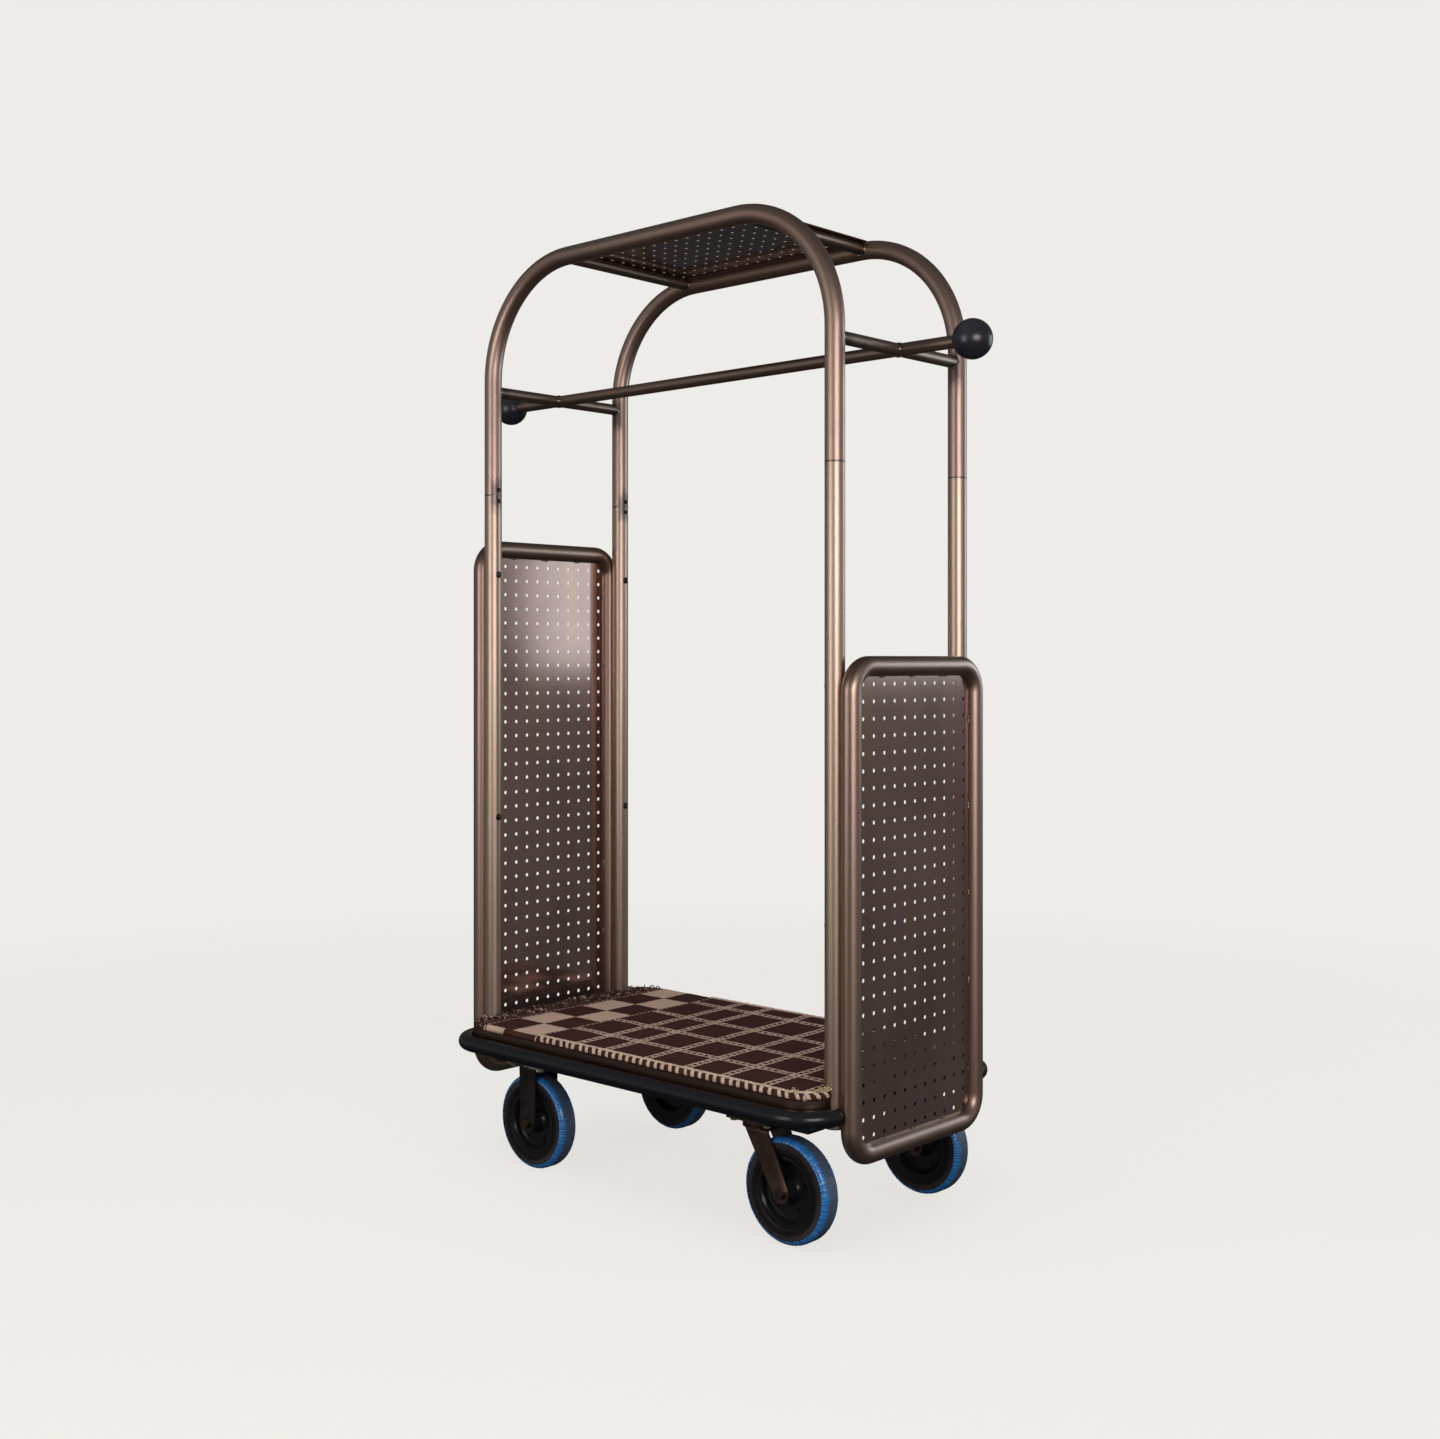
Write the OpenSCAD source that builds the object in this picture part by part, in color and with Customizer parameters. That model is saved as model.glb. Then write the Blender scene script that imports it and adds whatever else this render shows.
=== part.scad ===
// Luggage cart with two arched tube frames, a hanging rail, perforated
// roof and end panels, a carpeted deck and four casters. Millimetres.
// Origin on the floor under the middle of the deck, +X along the cart,
// +Y across it, +Z up. Two rigid casters at -X, two swivel casters at +X.

/* [Cage] */
// Distance between post centres along the cart
post_span_x = 970; // [960:1:976]
// Distance between post centres across the cart
post_span_y = 391; // [386:1:396]
// Outside diameter of posts, arches and end frames
tube_d = 38; // [36:0.5:38]
// Wall thickness of that tube
tube_wall = 2; // [1.5:0.1:2.5]
// Height of the arches' centre line
arch_z = 1945; // [1900:1:1990]
// Centre-line radius of the arches' bends
arch_bend_r = 243; // [225:1:245]
// Height of the joint between post and arch
splice_z = 1451; // [1400:1:1500]
// Height of the posts' lower ends
post_foot_z = 232; // [229:1:236]

/* [Rail and roof] */
// Diameter of the hanging rail and all crossbars
rail_d = 25; // [22:0.5:26]
// Height of the hanging rail
rail_z = 1682; // [1660:1:1695]
// Diameter of the ball at each end of the rail
ball_d = 76; // [60:1:80]
// Distance from the middle to each ball's centre
ball_x = 654; // [620:1:670]
// Distance from the middle to each roof crossbar
roof_bar_x = 252; // [248:1:256]

/* [End panels] */
// Height of the end frames' bottom tube
frame_bottom_z = 180; // [175:1:185]
// Height of the top tube of the left, taller end frame
left_top_z = 1336; // [1330:1:1340]
// Height of the top tube of the right, lower end frame
right_top_z = 1076; // [1070:1:1080]
// Centre-line radius of the end frames' corners
frame_corner_r = 50; // [45:1:55]
// Thickness of the perforated sheet
sheet_t = 1.5; // [1:0.1:2]
// Diameter of the holes in the sheet
hole_d = 8; // [6:0.5:10]
// Spacing of those holes both ways
hole_pitch = 32; // [31.5:0.1:32]

/* [Deck] */
// Half length of the deck over its trim band
deck_half_x = 490.5; // [488:0.5:491]
// Half width of the deck over its trim band
deck_half_y = 277; // [274:0.5:280]
// Corner radius of the trim band
deck_corner_r = 59; // [50:1:62]
// Height of the carpet's top face
deck_z = 300; // [298:1:304]
// Thickness of the carpet
carpet_t = 12; // [8:0.5:14]
// Radius of the round rubber bumper
bumper_r = 16.5; // [15:0.1:17]
// Height of the bumper's centre line
bumper_z = 257.7; // [257:0.1:260]

/* [Casters] */
// Wheel diameter over the tread
wheel_d = 200; // [196:1:204]
// Width of the tyre
tyre_w = 44; // [42:1:50]
// Distance from the middle of the deck to each caster, along it
caster_x = 318; // [310:1:322]
// Distance from the middle of the deck to each caster, across it
caster_y = 209; // [207:1:211]
// Distance from the swivel axis to the axle it trails
swivel_trail = 74; // [66:1:74]
// Diameter of the axle bolts
axle_d = 12; // [10:1:12]

/* [Hidden] */
$fn = 96;

// Gaps: between welded or pressed pieces, and radial gap of a running fit
gap = 0.1;
running_gap = 0.06;

// Cage
post_x = post_span_x / 2;
post_y = post_span_y / 2;
tube_r = tube_d / 2;
bore_r = tube_r - tube_wall;
arch_foot_z = arch_z - arch_bend_r;
arch_straight_x = post_x - arch_bend_r;
seam = 0.6;
sleeve_len = 90;
splice_pitch = 24;
screw_r = 2.5;
screw_head_r = 4.8;
screw_head_h = 2.6;
plug_skirt = 14;

// Rail and roof
rail_r = rail_d / 2;
rail_wall = 1.5;
ball_r = ball_d / 2;
ball_socket_end = 5;
rail_half = ball_x - ball_socket_end - 1;
roof_sheet_z = arch_z + rail_r + gap;
roof_half_x = roof_bar_x + 20;
roof_half_y = post_y - sqrt(pow(tube_r, 2) - pow(rail_r + sheet_t + gap, 2)) - 2;
roof_half_cols = 7.5;
roof_half_rows = 5;
roof_screw_y = 130;

// End panels
frame_x = post_x + tube_d + gap;
frame_inner_y = post_y - tube_r;
panel_cols = 5;
panel_first_row_z = 211;
panel_bolt_r = 4;
panel_head_r = 7.5;
panel_head_h = 3;
left_bolt_z = [740, 1276];
right_bolt_z = [600, 1040];
insert_r = 5.5;
insert_len = 12;

// Deck, from the carpet down
board_t = 18;
board_top_z = deck_z - carpet_t;
board_z = board_top_z - board_t;
trim_t = 3;
trim_z = board_top_z - 48;
trim_gap = 0.3;
notch_r = tube_r + 0.4;
bumper_flat = 0.2;
bumper_half_x = deck_half_x + bumper_r - bumper_flat + gap;
bumper_half_y = deck_half_y + bumper_r - bumper_flat + gap;
bumper_corner_r = deck_corner_r + bumper_r - bumper_flat + gap;
plate_top_z = 226;
channel_w = 90;
channel_t = 3;
channel_half_x = 470;
cross_w = 40;
cross_h = 30;
cross_x = [-390, -130, 130, 390];

// Casters
plate_t = 5;
plate_half_x = 55;
plate_half_y = 43;
plate_bolt_x = 42;
plate_bolt_y = 31;
plate_bolt_r = 4;
fork_t = 4;
fork_half_w = 32;
fork_bend_r = 8;
crown_top_z = 212;
crown_r = 36;
kingpin_r = 8;
race_r = 26;
race_ball_r = 3;
race_balls = 16;
leg_end_r = 19.5;
wheel_r = wheel_d / 2;
wrap_t = 0.6;
tread_r = wheel_r - wrap_t - gap / 2;
shoulder_r = 12;
rim_r = 63;
rim_half_w = 20;
wrap_edge_r = tread_r - 8;
rim_pocket_floor = 3;
bead_half_w = rim_half_w - 5;
rim_holes = 5;
rim_hole_r = 6;
rim_hole_pcr = 42;
bearing_r = 17.5;
bearing_w = 11;
hub_half = 26;
axle_r = axle_d / 2;
rigid_leg_half = 26;
rigid_leg_end_r = 22;
// Swivel fork's legs at the crown, as distances from the swivel axis
crown_back_x = -16;
crown_front_x = 40;

// ---------- Shared shapes ----------

// Flat ring, the section of the 38 mm tube
module tube_section(r = tube_r, wall = tube_wall) {
  difference() {
    circle(r);
    circle(r - wall);
  }
}

module tube_z(len, r = tube_r, wall = tube_wall) {
  linear_extrude(len) tube_section(r, wall);
}

module cyl_x(r, len) {
  rotate([0, 90, 0]) cylinder(h = len, r = r, center = true);
}

module cyl_y(r, len) {
  rotate([90, 0, 0]) cylinder(h = len, r = r, center = true);
}

module rounded_rect(hx, hy, r) {
  square([2 * hx, 2 * (hy - r)], center = true);
  square([2 * (hx - r), 2 * hy], center = true);
  for (sx = [-1, 1], sy = [-1, 1]) translate([sx * (hx - r), sy * (hy - r)]) circle(r);
}

// A quarter bend in the XY plane from +X to +Y; the child is its section, x outwards
module bend(r) {
  rotate_extrude(angle = 90) translate([r, 0]) children();
}

// A straight run along Y, facing +X; the child is its section, x outwards
module run_y(len) {
  rotate([90, 0, 0]) linear_extrude(len, center = true) children();
}

module at_posts() {
  for (sx = [-1, 1], sy = [-1, 1]) translate([sx * post_x, sy * post_y, 0]) children();
}

// Room for the posts where they pass a flat piece's edge
module post_notches(r = notch_r) {
  at_posts() translate([0, 0, 200]) cylinder(h = 150, r = r);
}

// Hex head or nut on +Z, its flat underside at z = 0
module hex(af, h) {
  cylinder(h = h, d = af / cos(30), $fn = 6);
}

// Low domed screw head on +Z
module button_head(r, h) {
  rotate_extrude() intersection() {
    translate([0, h - (r * r + h * h) / (2 * h)]) circle((r * r + h * h) / (2 * h));
    square([r, h]);
  }
}

// ---------- Cage ----------

// Holes through one post for the splice screws, on its side facing the middle
module splice_holes(r) {
  for (s = [-1, 1]) translate([-tube_r, 0, splice_z + s * splice_pitch / 2]) cyl_x(r, 12);
}

module panel_bolt_holes(heights) {
  for (z = heights) translate([0, 0, z]) cyl_x(panel_bolt_r + 0.2, tube_d + 4);
}

// One arch in the XZ plane, from the splice up and over
module arch(y) {
  color("#7d6355") translate([0, y, 0]) difference() {
    union() {
      for (m = [0, 1]) mirror([m, 0, 0]) {
        translate([post_x, 0, splice_z + seam / 2]) tube_z(arch_foot_z - splice_z - seam / 2);
        translate([arch_straight_x, 0, arch_foot_z]) rotate([90, 0, 0]) bend(arch_bend_r) tube_section();
      }
      translate([-arch_straight_x, 0, arch_z]) rotate([0, 90, 0]) tube_z(2 * arch_straight_x);
    }
    for (m = [0, 1]) mirror([m, 0, 0]) translate([post_x, 0, 0]) splice_holes(screw_r + 0.1);
  }
}

module arch_front() { arch(-post_y); }
module arch_back() { arch(post_y); }

// One post, drawn at +X and mirrored to its corner
module post(left, back, bolt_heights) {
  color("#8a6e5e") mirror([left, 0, 0]) translate([post_x, back ? post_y : -post_y, 0]) difference() {
    translate([0, 0, post_foot_z]) tube_z(splice_z - seam / 2 - post_foot_z);
    splice_holes(screw_r + 0.1);
    panel_bolt_holes(bolt_heights);
  }
}

module post_front_left() { post(1, false, left_bolt_z); }
module post_front_right() { post(0, false, right_bolt_z); }
module post_back_left() { post(1, true, left_bolt_z); }
module post_back_right() { post(0, true, right_bolt_z); }

// Inner sleeves that join each post to its arch
module splice_sleeves() {
  color("#9a9a98") for (sx = [-1, 1], sy = [-1, 1])
    mirror([sx < 0 ? 1 : 0, 0, 0]) translate([post_x, sy * post_y, 0]) difference() {
      translate([0, 0, splice_z - sleeve_len / 2]) tube_z(sleeve_len, bore_r - gap, 2.5);
      splice_holes(screw_r + 0.1);
    }
}

module splice_screws() {
  color("#2b2a2a") for (sx = [-1, 1], sy = [-1, 1], s = [-1, 1])
    mirror([sx < 0 ? 1 : 0, 0, 0])
      translate([post_x - tube_r, sy * post_y, splice_z + s * splice_pitch / 2])
        rotate([0, -90, 0]) {
          button_head(screw_head_r, screw_head_h);
          translate([0, 0, -6.5]) cylinder(h = 6.5, r = screw_r);
        }
}

// Plugs that close the posts' lower ends
module post_end_plugs() {
  color("#1d1c1c") at_posts() translate([0, 0, post_foot_z]) {
    translate([0, 0, -2]) cylinder(h = 2, r = tube_r);
    cylinder(h = plug_skirt, r = bore_r - gap);
  }
}

// ---------- Rail and roof ----------

module hanging_rail() {
  color("#6f574b") translate([-rail_half, 0, rail_z]) rotate([0, 90, 0])
    tube_z(2 * rail_half, rail_r, rail_wall);
}

// Two short tubes from the arch legs to the rail, each end coped to fit
module crossbar(x) {
  color("#6f574b") difference() {
    translate([x, 0, rail_z]) rotate([90, 0, 0])
      translate([0, 0, -post_y]) tube_z(2 * post_y, rail_r, rail_wall);
    translate([x, 0, rail_z]) cyl_x(rail_r + gap, 60);
    for (sy = [-1, 1]) translate([x, sy * post_y, rail_z]) cylinder(h = 60, r = tube_r + gap, center = true);
  }
}

module crossbar_left() { crossbar(-post_x); }
module crossbar_right() { crossbar(post_x); }

// Ball drawn at +X: a turned half disc with a blind bore for the rail's end
module ball_knob(left) {
  color("#26262c") mirror([left, 0, 0]) translate([ball_x, 0, rail_z]) rotate([0, 90, 0])
    rotate_extrude() difference() {
      circle(ball_r);
      translate([-2 * ball_r, -2 * ball_r]) square([2 * ball_r, 4 * ball_r]);
      translate([0, -2 * ball_r]) square([rail_r + gap, 2 * ball_r - ball_socket_end]);
    }
}

module ball_knob_left() { ball_knob(1); }
module ball_knob_right() { ball_knob(0); }

module roof_crossbars() {
  color("#6f574b") difference() {
    for (sx = [-1, 1]) translate([sx * roof_bar_x, 0, arch_z]) rotate([90, 0, 0])
      translate([0, 0, -post_y]) tube_z(2 * post_y, rail_r, rail_wall);
    for (sy = [-1, 1]) translate([0, sy * post_y, arch_z]) cyl_x(tube_r + gap, 2 * post_x);
    for (sx = [-1, 1], sy = [-1, 1])
      translate([sx * roof_bar_x, sy * roof_screw_y, arch_z]) cylinder(h = 30, r = screw_r + 0.1);
  }
}

module roof_panel() {
  color("#54433e") translate([0, 0, roof_sheet_z]) linear_extrude(sheet_t) difference() {
    rounded_rect(roof_half_x, roof_half_y, 8);
    for (i = [-roof_half_cols : roof_half_cols], j = [-roof_half_rows : roof_half_rows])
      translate([i * hole_pitch, j * hole_pitch]) circle(d = hole_d, $fn = 24);
    for (sx = [-1, 1], sy = [-1, 1]) translate([sx * roof_bar_x, sy * roof_screw_y]) circle(screw_r + 0.1);
  }
}

module roof_screws() {
  color("#8d8a86") for (sx = [-1, 1], sy = [-1, 1])
    translate([sx * roof_bar_x, sy * roof_screw_y, roof_sheet_z + sheet_t]) {
      button_head(screw_head_r, screw_head_h);
      translate([0, 0, -8]) cylinder(h = 8, r = screw_r);
    }
}

// ---------- End panels ----------

// Round-cornered tube loop standing in the YZ plane
module side_frame(left, top_z, bolt_heights) {
  half_z = (top_z - frame_bottom_z) / 2;
  mid_z = (top_z + frame_bottom_z) / 2;
  color("#75594d") mirror([left, 0, 0]) difference() {
    translate([frame_x, 0, mid_z]) rotate([90, 0, 90]) {
      for (a = [0, 180]) rotate(a) {
        translate([post_y, 0, 0]) run_y(2 * (half_z - frame_corner_r)) tube_section();
        translate([post_y - frame_corner_r, half_z - frame_corner_r, 0])
          bend(frame_corner_r) tube_section();
        translate([-(post_y - frame_corner_r), half_z - frame_corner_r, 0]) rotate(90)
          bend(frame_corner_r) tube_section();
        translate([0, half_z, 0]) rotate(90) run_y(2 * (post_y - frame_corner_r)) tube_section();
      }
    }
    for (sy = [-1, 1], z = bolt_heights)
      translate([frame_x - tube_r, sy * post_y, z]) cyl_x(insert_r + gap, tube_r);
  }
}

module side_frame_left() { side_frame(1, left_top_z, left_bolt_z); }
module side_frame_right() { side_frame(0, right_top_z, right_bolt_z); }

// Perforated sheet that fills an end frame, in the tubes' mid-plane
module side_panel(left, top_z) {
  half_z = (top_z - frame_bottom_z) / 2 - tube_r - gap;
  mid_z = (top_z + frame_bottom_z) / 2;
  rows = floor((top_z - tube_r - 10 - panel_first_row_z) / hole_pitch);
  color("#4d3b36") mirror([left, 0, 0]) translate([frame_x - sheet_t / 2, 0, 0])
    rotate([90, 0, 90]) linear_extrude(sheet_t) difference() {
      translate([0, mid_z]) rounded_rect(frame_inner_y - gap, half_z, frame_corner_r - tube_r - gap);
      for (i = [-panel_cols : panel_cols], j = [0 : rows])
        translate([i * hole_pitch, panel_first_row_z + j * hole_pitch]) circle(d = hole_d, $fn = 24);
    }
}

module side_panel_left() { side_panel(1, left_top_z); }
module side_panel_right() { side_panel(0, right_top_z); }

// Bolts through the posts into the end frames, heads towards the luggage
module panel_bolts(left, heights) {
  head_x = post_x - tube_r;
  color("#3a3634") mirror([left, 0, 0]) for (sy = [-1, 1], z = heights)
    translate([head_x, sy * post_y, z]) rotate([0, -90, 0]) {
      button_head(panel_head_r, panel_head_h);
      translate([0, 0, -tube_d - 10]) cylinder(h = tube_d + 10, r = panel_bolt_r);
    }
}

module panel_bolts_left() { panel_bolts(1, left_bolt_z); }
module panel_bolts_right() { panel_bolts(0, right_bolt_z); }

// Threaded inserts that take those bolts, set in the end frames
module panel_inserts() {
  insert_x = frame_x - tube_r;
  color("#b9b4a8") for (left = [0, 1]) mirror([left, 0, 0])
    for (sy = [-1, 1], z = left ? left_bolt_z : right_bolt_z)
      translate([insert_x + insert_len / 2 + 0.5, sy * post_y, z]) difference() {
        cyl_x(insert_r, insert_len);
        cyl_x(panel_bolt_r + gap, insert_len + 2);
      }
}

// ---------- Deck ----------

// Two channels over the casters joined by four cross tubes
module underframe() {
  wall_h = board_z - plate_top_z;
  color("#2f2b29") difference() {
    union() {
      for (sy = [-1, 1]) translate([0, sy * caster_y, plate_top_z]) difference() {
        translate([-channel_half_x, -channel_w / 2, 0]) cube([2 * channel_half_x, channel_w, wall_h]);
        translate([-channel_half_x - 1, channel_t - channel_w / 2, channel_t])
          cube([2 * channel_half_x + 2, channel_w - 2 * channel_t, wall_h]);
      }
      for (x = cross_x) translate([x, 0, board_z - cross_h / 2]) rotate([90, 0, 0])
        linear_extrude(2 * caster_y - channel_w, center = true) difference() {
          square([cross_w, cross_h], center = true);
          square([cross_w - 4, cross_h - 4], center = true);
        }
    }
    post_notches(tube_r + gap);
    for (sx = [-1, 1], sy = [-1, 1]) translate([sx * caster_x, sy * caster_y, 0])
      caster_bolt_holes(plate_top_z, channel_t);
  }
}

module deck_board() {
  color("#b08d62") difference() {
    translate([0, 0, board_z]) linear_extrude(board_t) rounded_rect(deck_half_x - trim_t - trim_gap,
      deck_half_y - trim_t - trim_gap, deck_corner_r - trim_t - trim_gap);
    post_notches();
  }
}

// Upright metal band round the board, open where the posts pass
module deck_trim() {
  color("#6b5145") difference() {
    translate([0, 0, trim_z]) linear_extrude(board_top_z - trim_z) difference() {
      rounded_rect(deck_half_x, deck_half_y, deck_corner_r);
      rounded_rect(deck_half_x - trim_t, deck_half_y - trim_t, deck_corner_r - trim_t);
    }
    post_notches();
  }
}

module carpet() {
  color("#3a211d") difference() {
    translate([0, 0, board_top_z]) linear_extrude(carpet_t)
      rounded_rect(deck_half_x, deck_half_y, deck_corner_r);
    post_notches();
  }
}

// Round rubber section with a flat back, x outwards
module bumper_section() {
  difference() {
    circle(bumper_r);
    translate([-2 * bumper_r + bumper_flat - bumper_r, -bumper_r]) square([2 * bumper_r, 2 * bumper_r]);
  }
}

// Bumper along one long side and round its two corners
module bumper(back) {
  straight_x = bumper_half_x - bumper_corner_r;
  straight_y = bumper_half_y - bumper_corner_r;
  color("#222125") mirror([0, back ? 0 : 1, 0]) translate([0, 0, bumper_z]) {
    translate([0, bumper_half_y, 0]) rotate(90) run_y(2 * straight_x) bumper_section();
    translate([straight_x, straight_y, 0]) bend(bumper_corner_r) bumper_section();
    translate([-straight_x, straight_y, 0]) rotate(90) bend(bumper_corner_r) bumper_section();
  }
}

module bumper_front() { bumper(false); }
module bumper_back() { bumper(true); }

// ---------- Casters ----------

module caster_bolt_holes(z, t) {
  for (sx = [-1, 1], sy = [-1, 1])
    translate([sx * plate_bolt_x, sy * plate_bolt_y, z - 1])
      cylinder(h = t + 2, r = plate_bolt_r + 0.3);
}

module caster_plate() {
  difference() {
    translate([0, 0, plate_top_z - plate_t]) linear_extrude(plate_t)
      rounded_rect(plate_half_x, plate_half_y, 6);
    caster_bolt_holes(plate_top_z - plate_t, plate_t);
  }
}

// Section of the folded fork across the cart: two legs and the crown between them
module fork_section(top_z) {
  leg_bottom_z = wheel_r - 30;
  translate([0, (top_z + leg_bottom_z) / 2]) difference() {
    rounded_rect(fork_half_w, (top_z - leg_bottom_z) / 2, fork_bend_r);
    rounded_rect(fork_half_w - fork_t, (top_z - leg_bottom_z) / 2 - fork_t, fork_bend_r - fork_t);
  }
}

// The folded section, cut to the outline of the legs, which is the child
module folded_fork(top_z) {
  intersection() {
    rotate([90, 0, 90]) linear_extrude(400, center = true) fork_section(top_z);
    rotate([90, 0, 0]) linear_extrude(100, center = true) children();
  }
}

// Where a line from p touches the circle at c, on its left or right side
function tangent_point(p, c, r, side) =
  let (d = norm(c - p), a = atan2(p[1] - c[1], p[0] - c[0]) + side * acos(r / d))
  c + r * [cos(a), sin(a)];

// Leg that narrows from its two top corners to a round end about the axle
module leg_outline(top_z, back_x, front_x, axle, end_r) {
  back_top = [back_x, top_z];
  front_top = [front_x, top_z];
  polygon([back_top, tangent_point(back_top, axle, end_r, 1), axle,
    tangent_point(front_top, axle, end_r, -1), front_top]);
  translate(axle) circle(end_r);
}

module rigid_fork(y) {
  color("#2a2523") translate([-caster_x, y, 0]) difference() {
    union() {
      caster_plate();
      folded_fork(plate_top_z - plate_t) leg_outline(plate_top_z - plate_t,
        -rigid_leg_half, rigid_leg_half, [0, wheel_r], rigid_leg_end_r);
    }
    translate([0, 0, wheel_r]) cyl_y(axle_r + 0.2, 100);
  }
}

module rigid_fork_front_left() { rigid_fork(-caster_y); }
module rigid_fork_back_left() { rigid_fork(caster_y); }

// Fixed plates of the swivel casters, each with an upper race and a dust skirt
module swivel_plates() {
  under_z = plate_top_z - plate_t;
  color("#4a3d36") for (sy = [-1, 1]) translate([caster_x, sy * caster_y, 0]) difference() {
    union() {
      caster_plate();
      translate([0, 0, under_z - 1.4]) cylinder(h = 1.4, r = race_r + 5);
      translate([0, 0, crown_top_z + 2]) linear_extrude(under_z - crown_top_z - 2)
        tube_section(crown_r - 1, 2);
    }
    translate([0, 0, 200]) cylinder(h = 30, r = kingpin_r + gap / 2);
  }
}

module swivel_bearings() {
  ball_z = crown_top_z + 1.3 + race_ball_r + 0.2;
  color("#c8c8c8") for (sy = [-1, 1], i = [0 : race_balls - 1])
    translate([caster_x, sy * caster_y, ball_z]) rotate(i * 360 / race_balls)
      translate([race_r, 0, 0]) sphere(race_ball_r, $fn = 24);
}

module kingpins() {
  crown_under_z = crown_top_z - fork_t;
  color("#6d6a66") for (sy = [-1, 1]) translate([caster_x, sy * caster_y, 0]) {
    translate([0, 0, crown_under_z - 6.5]) cylinder(h = 6.2, r = 12);
    translate([0, 0, crown_under_z - 1]) cylinder(h = plate_top_z - crown_under_z + 1, r = kingpin_r);
  }
}

module swivel_fork(y) {
  color("#4a3a32") translate([caster_x, y, 0]) difference() {
    union() {
      folded_fork(crown_top_z) leg_outline(crown_top_z, crown_back_x, crown_front_x,
        [swivel_trail, wheel_r], leg_end_r);
      translate([0, 0, crown_top_z - fork_t]) cylinder(h = fork_t, r = crown_r);
      translate([0, 0, crown_top_z]) cylinder(h = 1.2, r = race_r + 4);
    }
    translate([0, 0, 200]) cylinder(h = 30, r = kingpin_r + running_gap);
    translate([swivel_trail, 0, wheel_r]) cyl_y(axle_r + 0.2, 100);
  }
}

module swivel_fork_front_right() { swivel_fork(-caster_y); }
module swivel_fork_back_right() { swivel_fork(caster_y); }

// Four bolts and nuts at each caster plate
module caster_bolts() {
  under_z = plate_top_z - plate_t;
  web_top_z = plate_top_z + channel_t;
  color("#9a968f") for (cx = [-1, 1], cy = [-1, 1], sx = [-1, 1], sy = [-1, 1])
    translate([cx * caster_x + sx * plate_bolt_x, cy * caster_y + sy * plate_bolt_y, 0]) {
      translate([0, 0, under_z - 5.3]) hex(13, 5.3);
      translate([0, 0, under_z]) cylinder(h = 18, r = plate_bolt_r);
      translate([0, 0, web_top_z]) difference() {
        hex(13, 6.5);
        translate([0, 0, -1]) cylinder(h = 9, r = plate_bolt_r + 0.05);
      }
    }
}

// Puts a wheel piece, turned about Y at the origin, on one of the four axles
module on_axle(left, back) {
  x = left ? -caster_x : caster_x + swivel_trail;
  translate([x, back ? caster_y : -caster_y, wheel_r]) rotate([90, 0, 0]) children();
}

// Tyre outline in section, radius along x; grow makes the shell of the wrap
module tread_section(grow = 0) {
  inner_r = rim_r + 3;
  translate([(inner_r + tread_r) / 2, 0])
    rounded_rect((tread_r - inner_r) / 2 + grow, tyre_w / 2 + grow, shoulder_r + grow);
}

module tyre(left, back) {
  color("#1c1b1d") on_axle(left, back) rotate_extrude() {
    tread_section();
    translate([rim_r + gap, -bead_half_w]) square([20, 2 * bead_half_w]);
  }
}

module tyre_front_left() { tyre(true, false); }
module tyre_back_left() { tyre(true, true); }
module tyre_front_right() { tyre(false, false); }
module tyre_back_right() { tyre(false, true); }

// Thin protective film over the tread and both shoulders
module tread_wrap(left, back) {
  color("#2c6cab") on_axle(left, back) rotate_extrude() difference() {
    tread_section(wrap_t + gap / 2);
    tread_section(gap / 2);
    translate([0, -tyre_w]) square([wrap_edge_r, 2 * tyre_w]);
  }
}

module tread_wrap_front_left() { tread_wrap(true, false); }
module tread_wrap_back_left() { tread_wrap(true, true); }
module tread_wrap_front_right() { tread_wrap(false, false); }
module tread_wrap_back_right() { tread_wrap(false, true); }

// One side of the rim's section: hub, dished web, bead seat and flange
rim_side = [
  [bearing_r - 4, hub_half - bearing_w - 0.5], [bearing_r + 0.05, hub_half - bearing_w - 0.5],
  [bearing_r + 0.05, hub_half], [bearing_r + 4, hub_half], [bearing_r + 6, 9], [bearing_r + 9, 4.5],
  [50, 4.5], [54, 8], [57, 16], [60, rim_half_w], [rim_r + 3.5, rim_half_w],
  [rim_r + 3.5, rim_half_w - 3], [rim_r, rim_half_w - 4]
];
rim_section = concat(rim_side, [for (i = [len(rim_side) - 1 : -1 : 0]) [rim_side[i][0], -rim_side[i][1]]]);

module rim(left, back) {
  color("#29282b") on_axle(left, back) difference() {
    rotate_extrude() polygon(rim_section);
    for (i = [0 : rim_holes - 1], side = [0, 1]) rotate(i * 360 / rim_holes + 20) mirror([0, 0, side])
      translate([rim_hole_pcr, 0, rim_pocket_floor / 2]) cylinder(h = 20, r = rim_hole_r);
  }
}

module rim_front_left() { rim(true, false); }
module rim_back_left() { rim(true, true); }
module rim_front_right() { rim(false, false); }
module rim_back_right() { rim(false, true); }

// A ball bearing in each end of the hub, drawn as one closed ring
module wheel_bearings(left, back) {
  color("#b5b5b2") on_axle(left, back) for (s = [-1, 1])
    translate([0, 0, s * (hub_half - bearing_w / 2)]) difference() {
      cylinder(h = bearing_w, r = bearing_r, center = true);
      cylinder(h = bearing_w + 2, r = axle_r + running_gap, center = true);
    }
}

module wheel_bearings_front_left() { wheel_bearings(true, false); }
module wheel_bearings_back_left() { wheel_bearings(true, true); }
module wheel_bearings_front_right() { wheel_bearings(false, false); }
module wheel_bearings_back_right() { wheel_bearings(false, true); }

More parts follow.
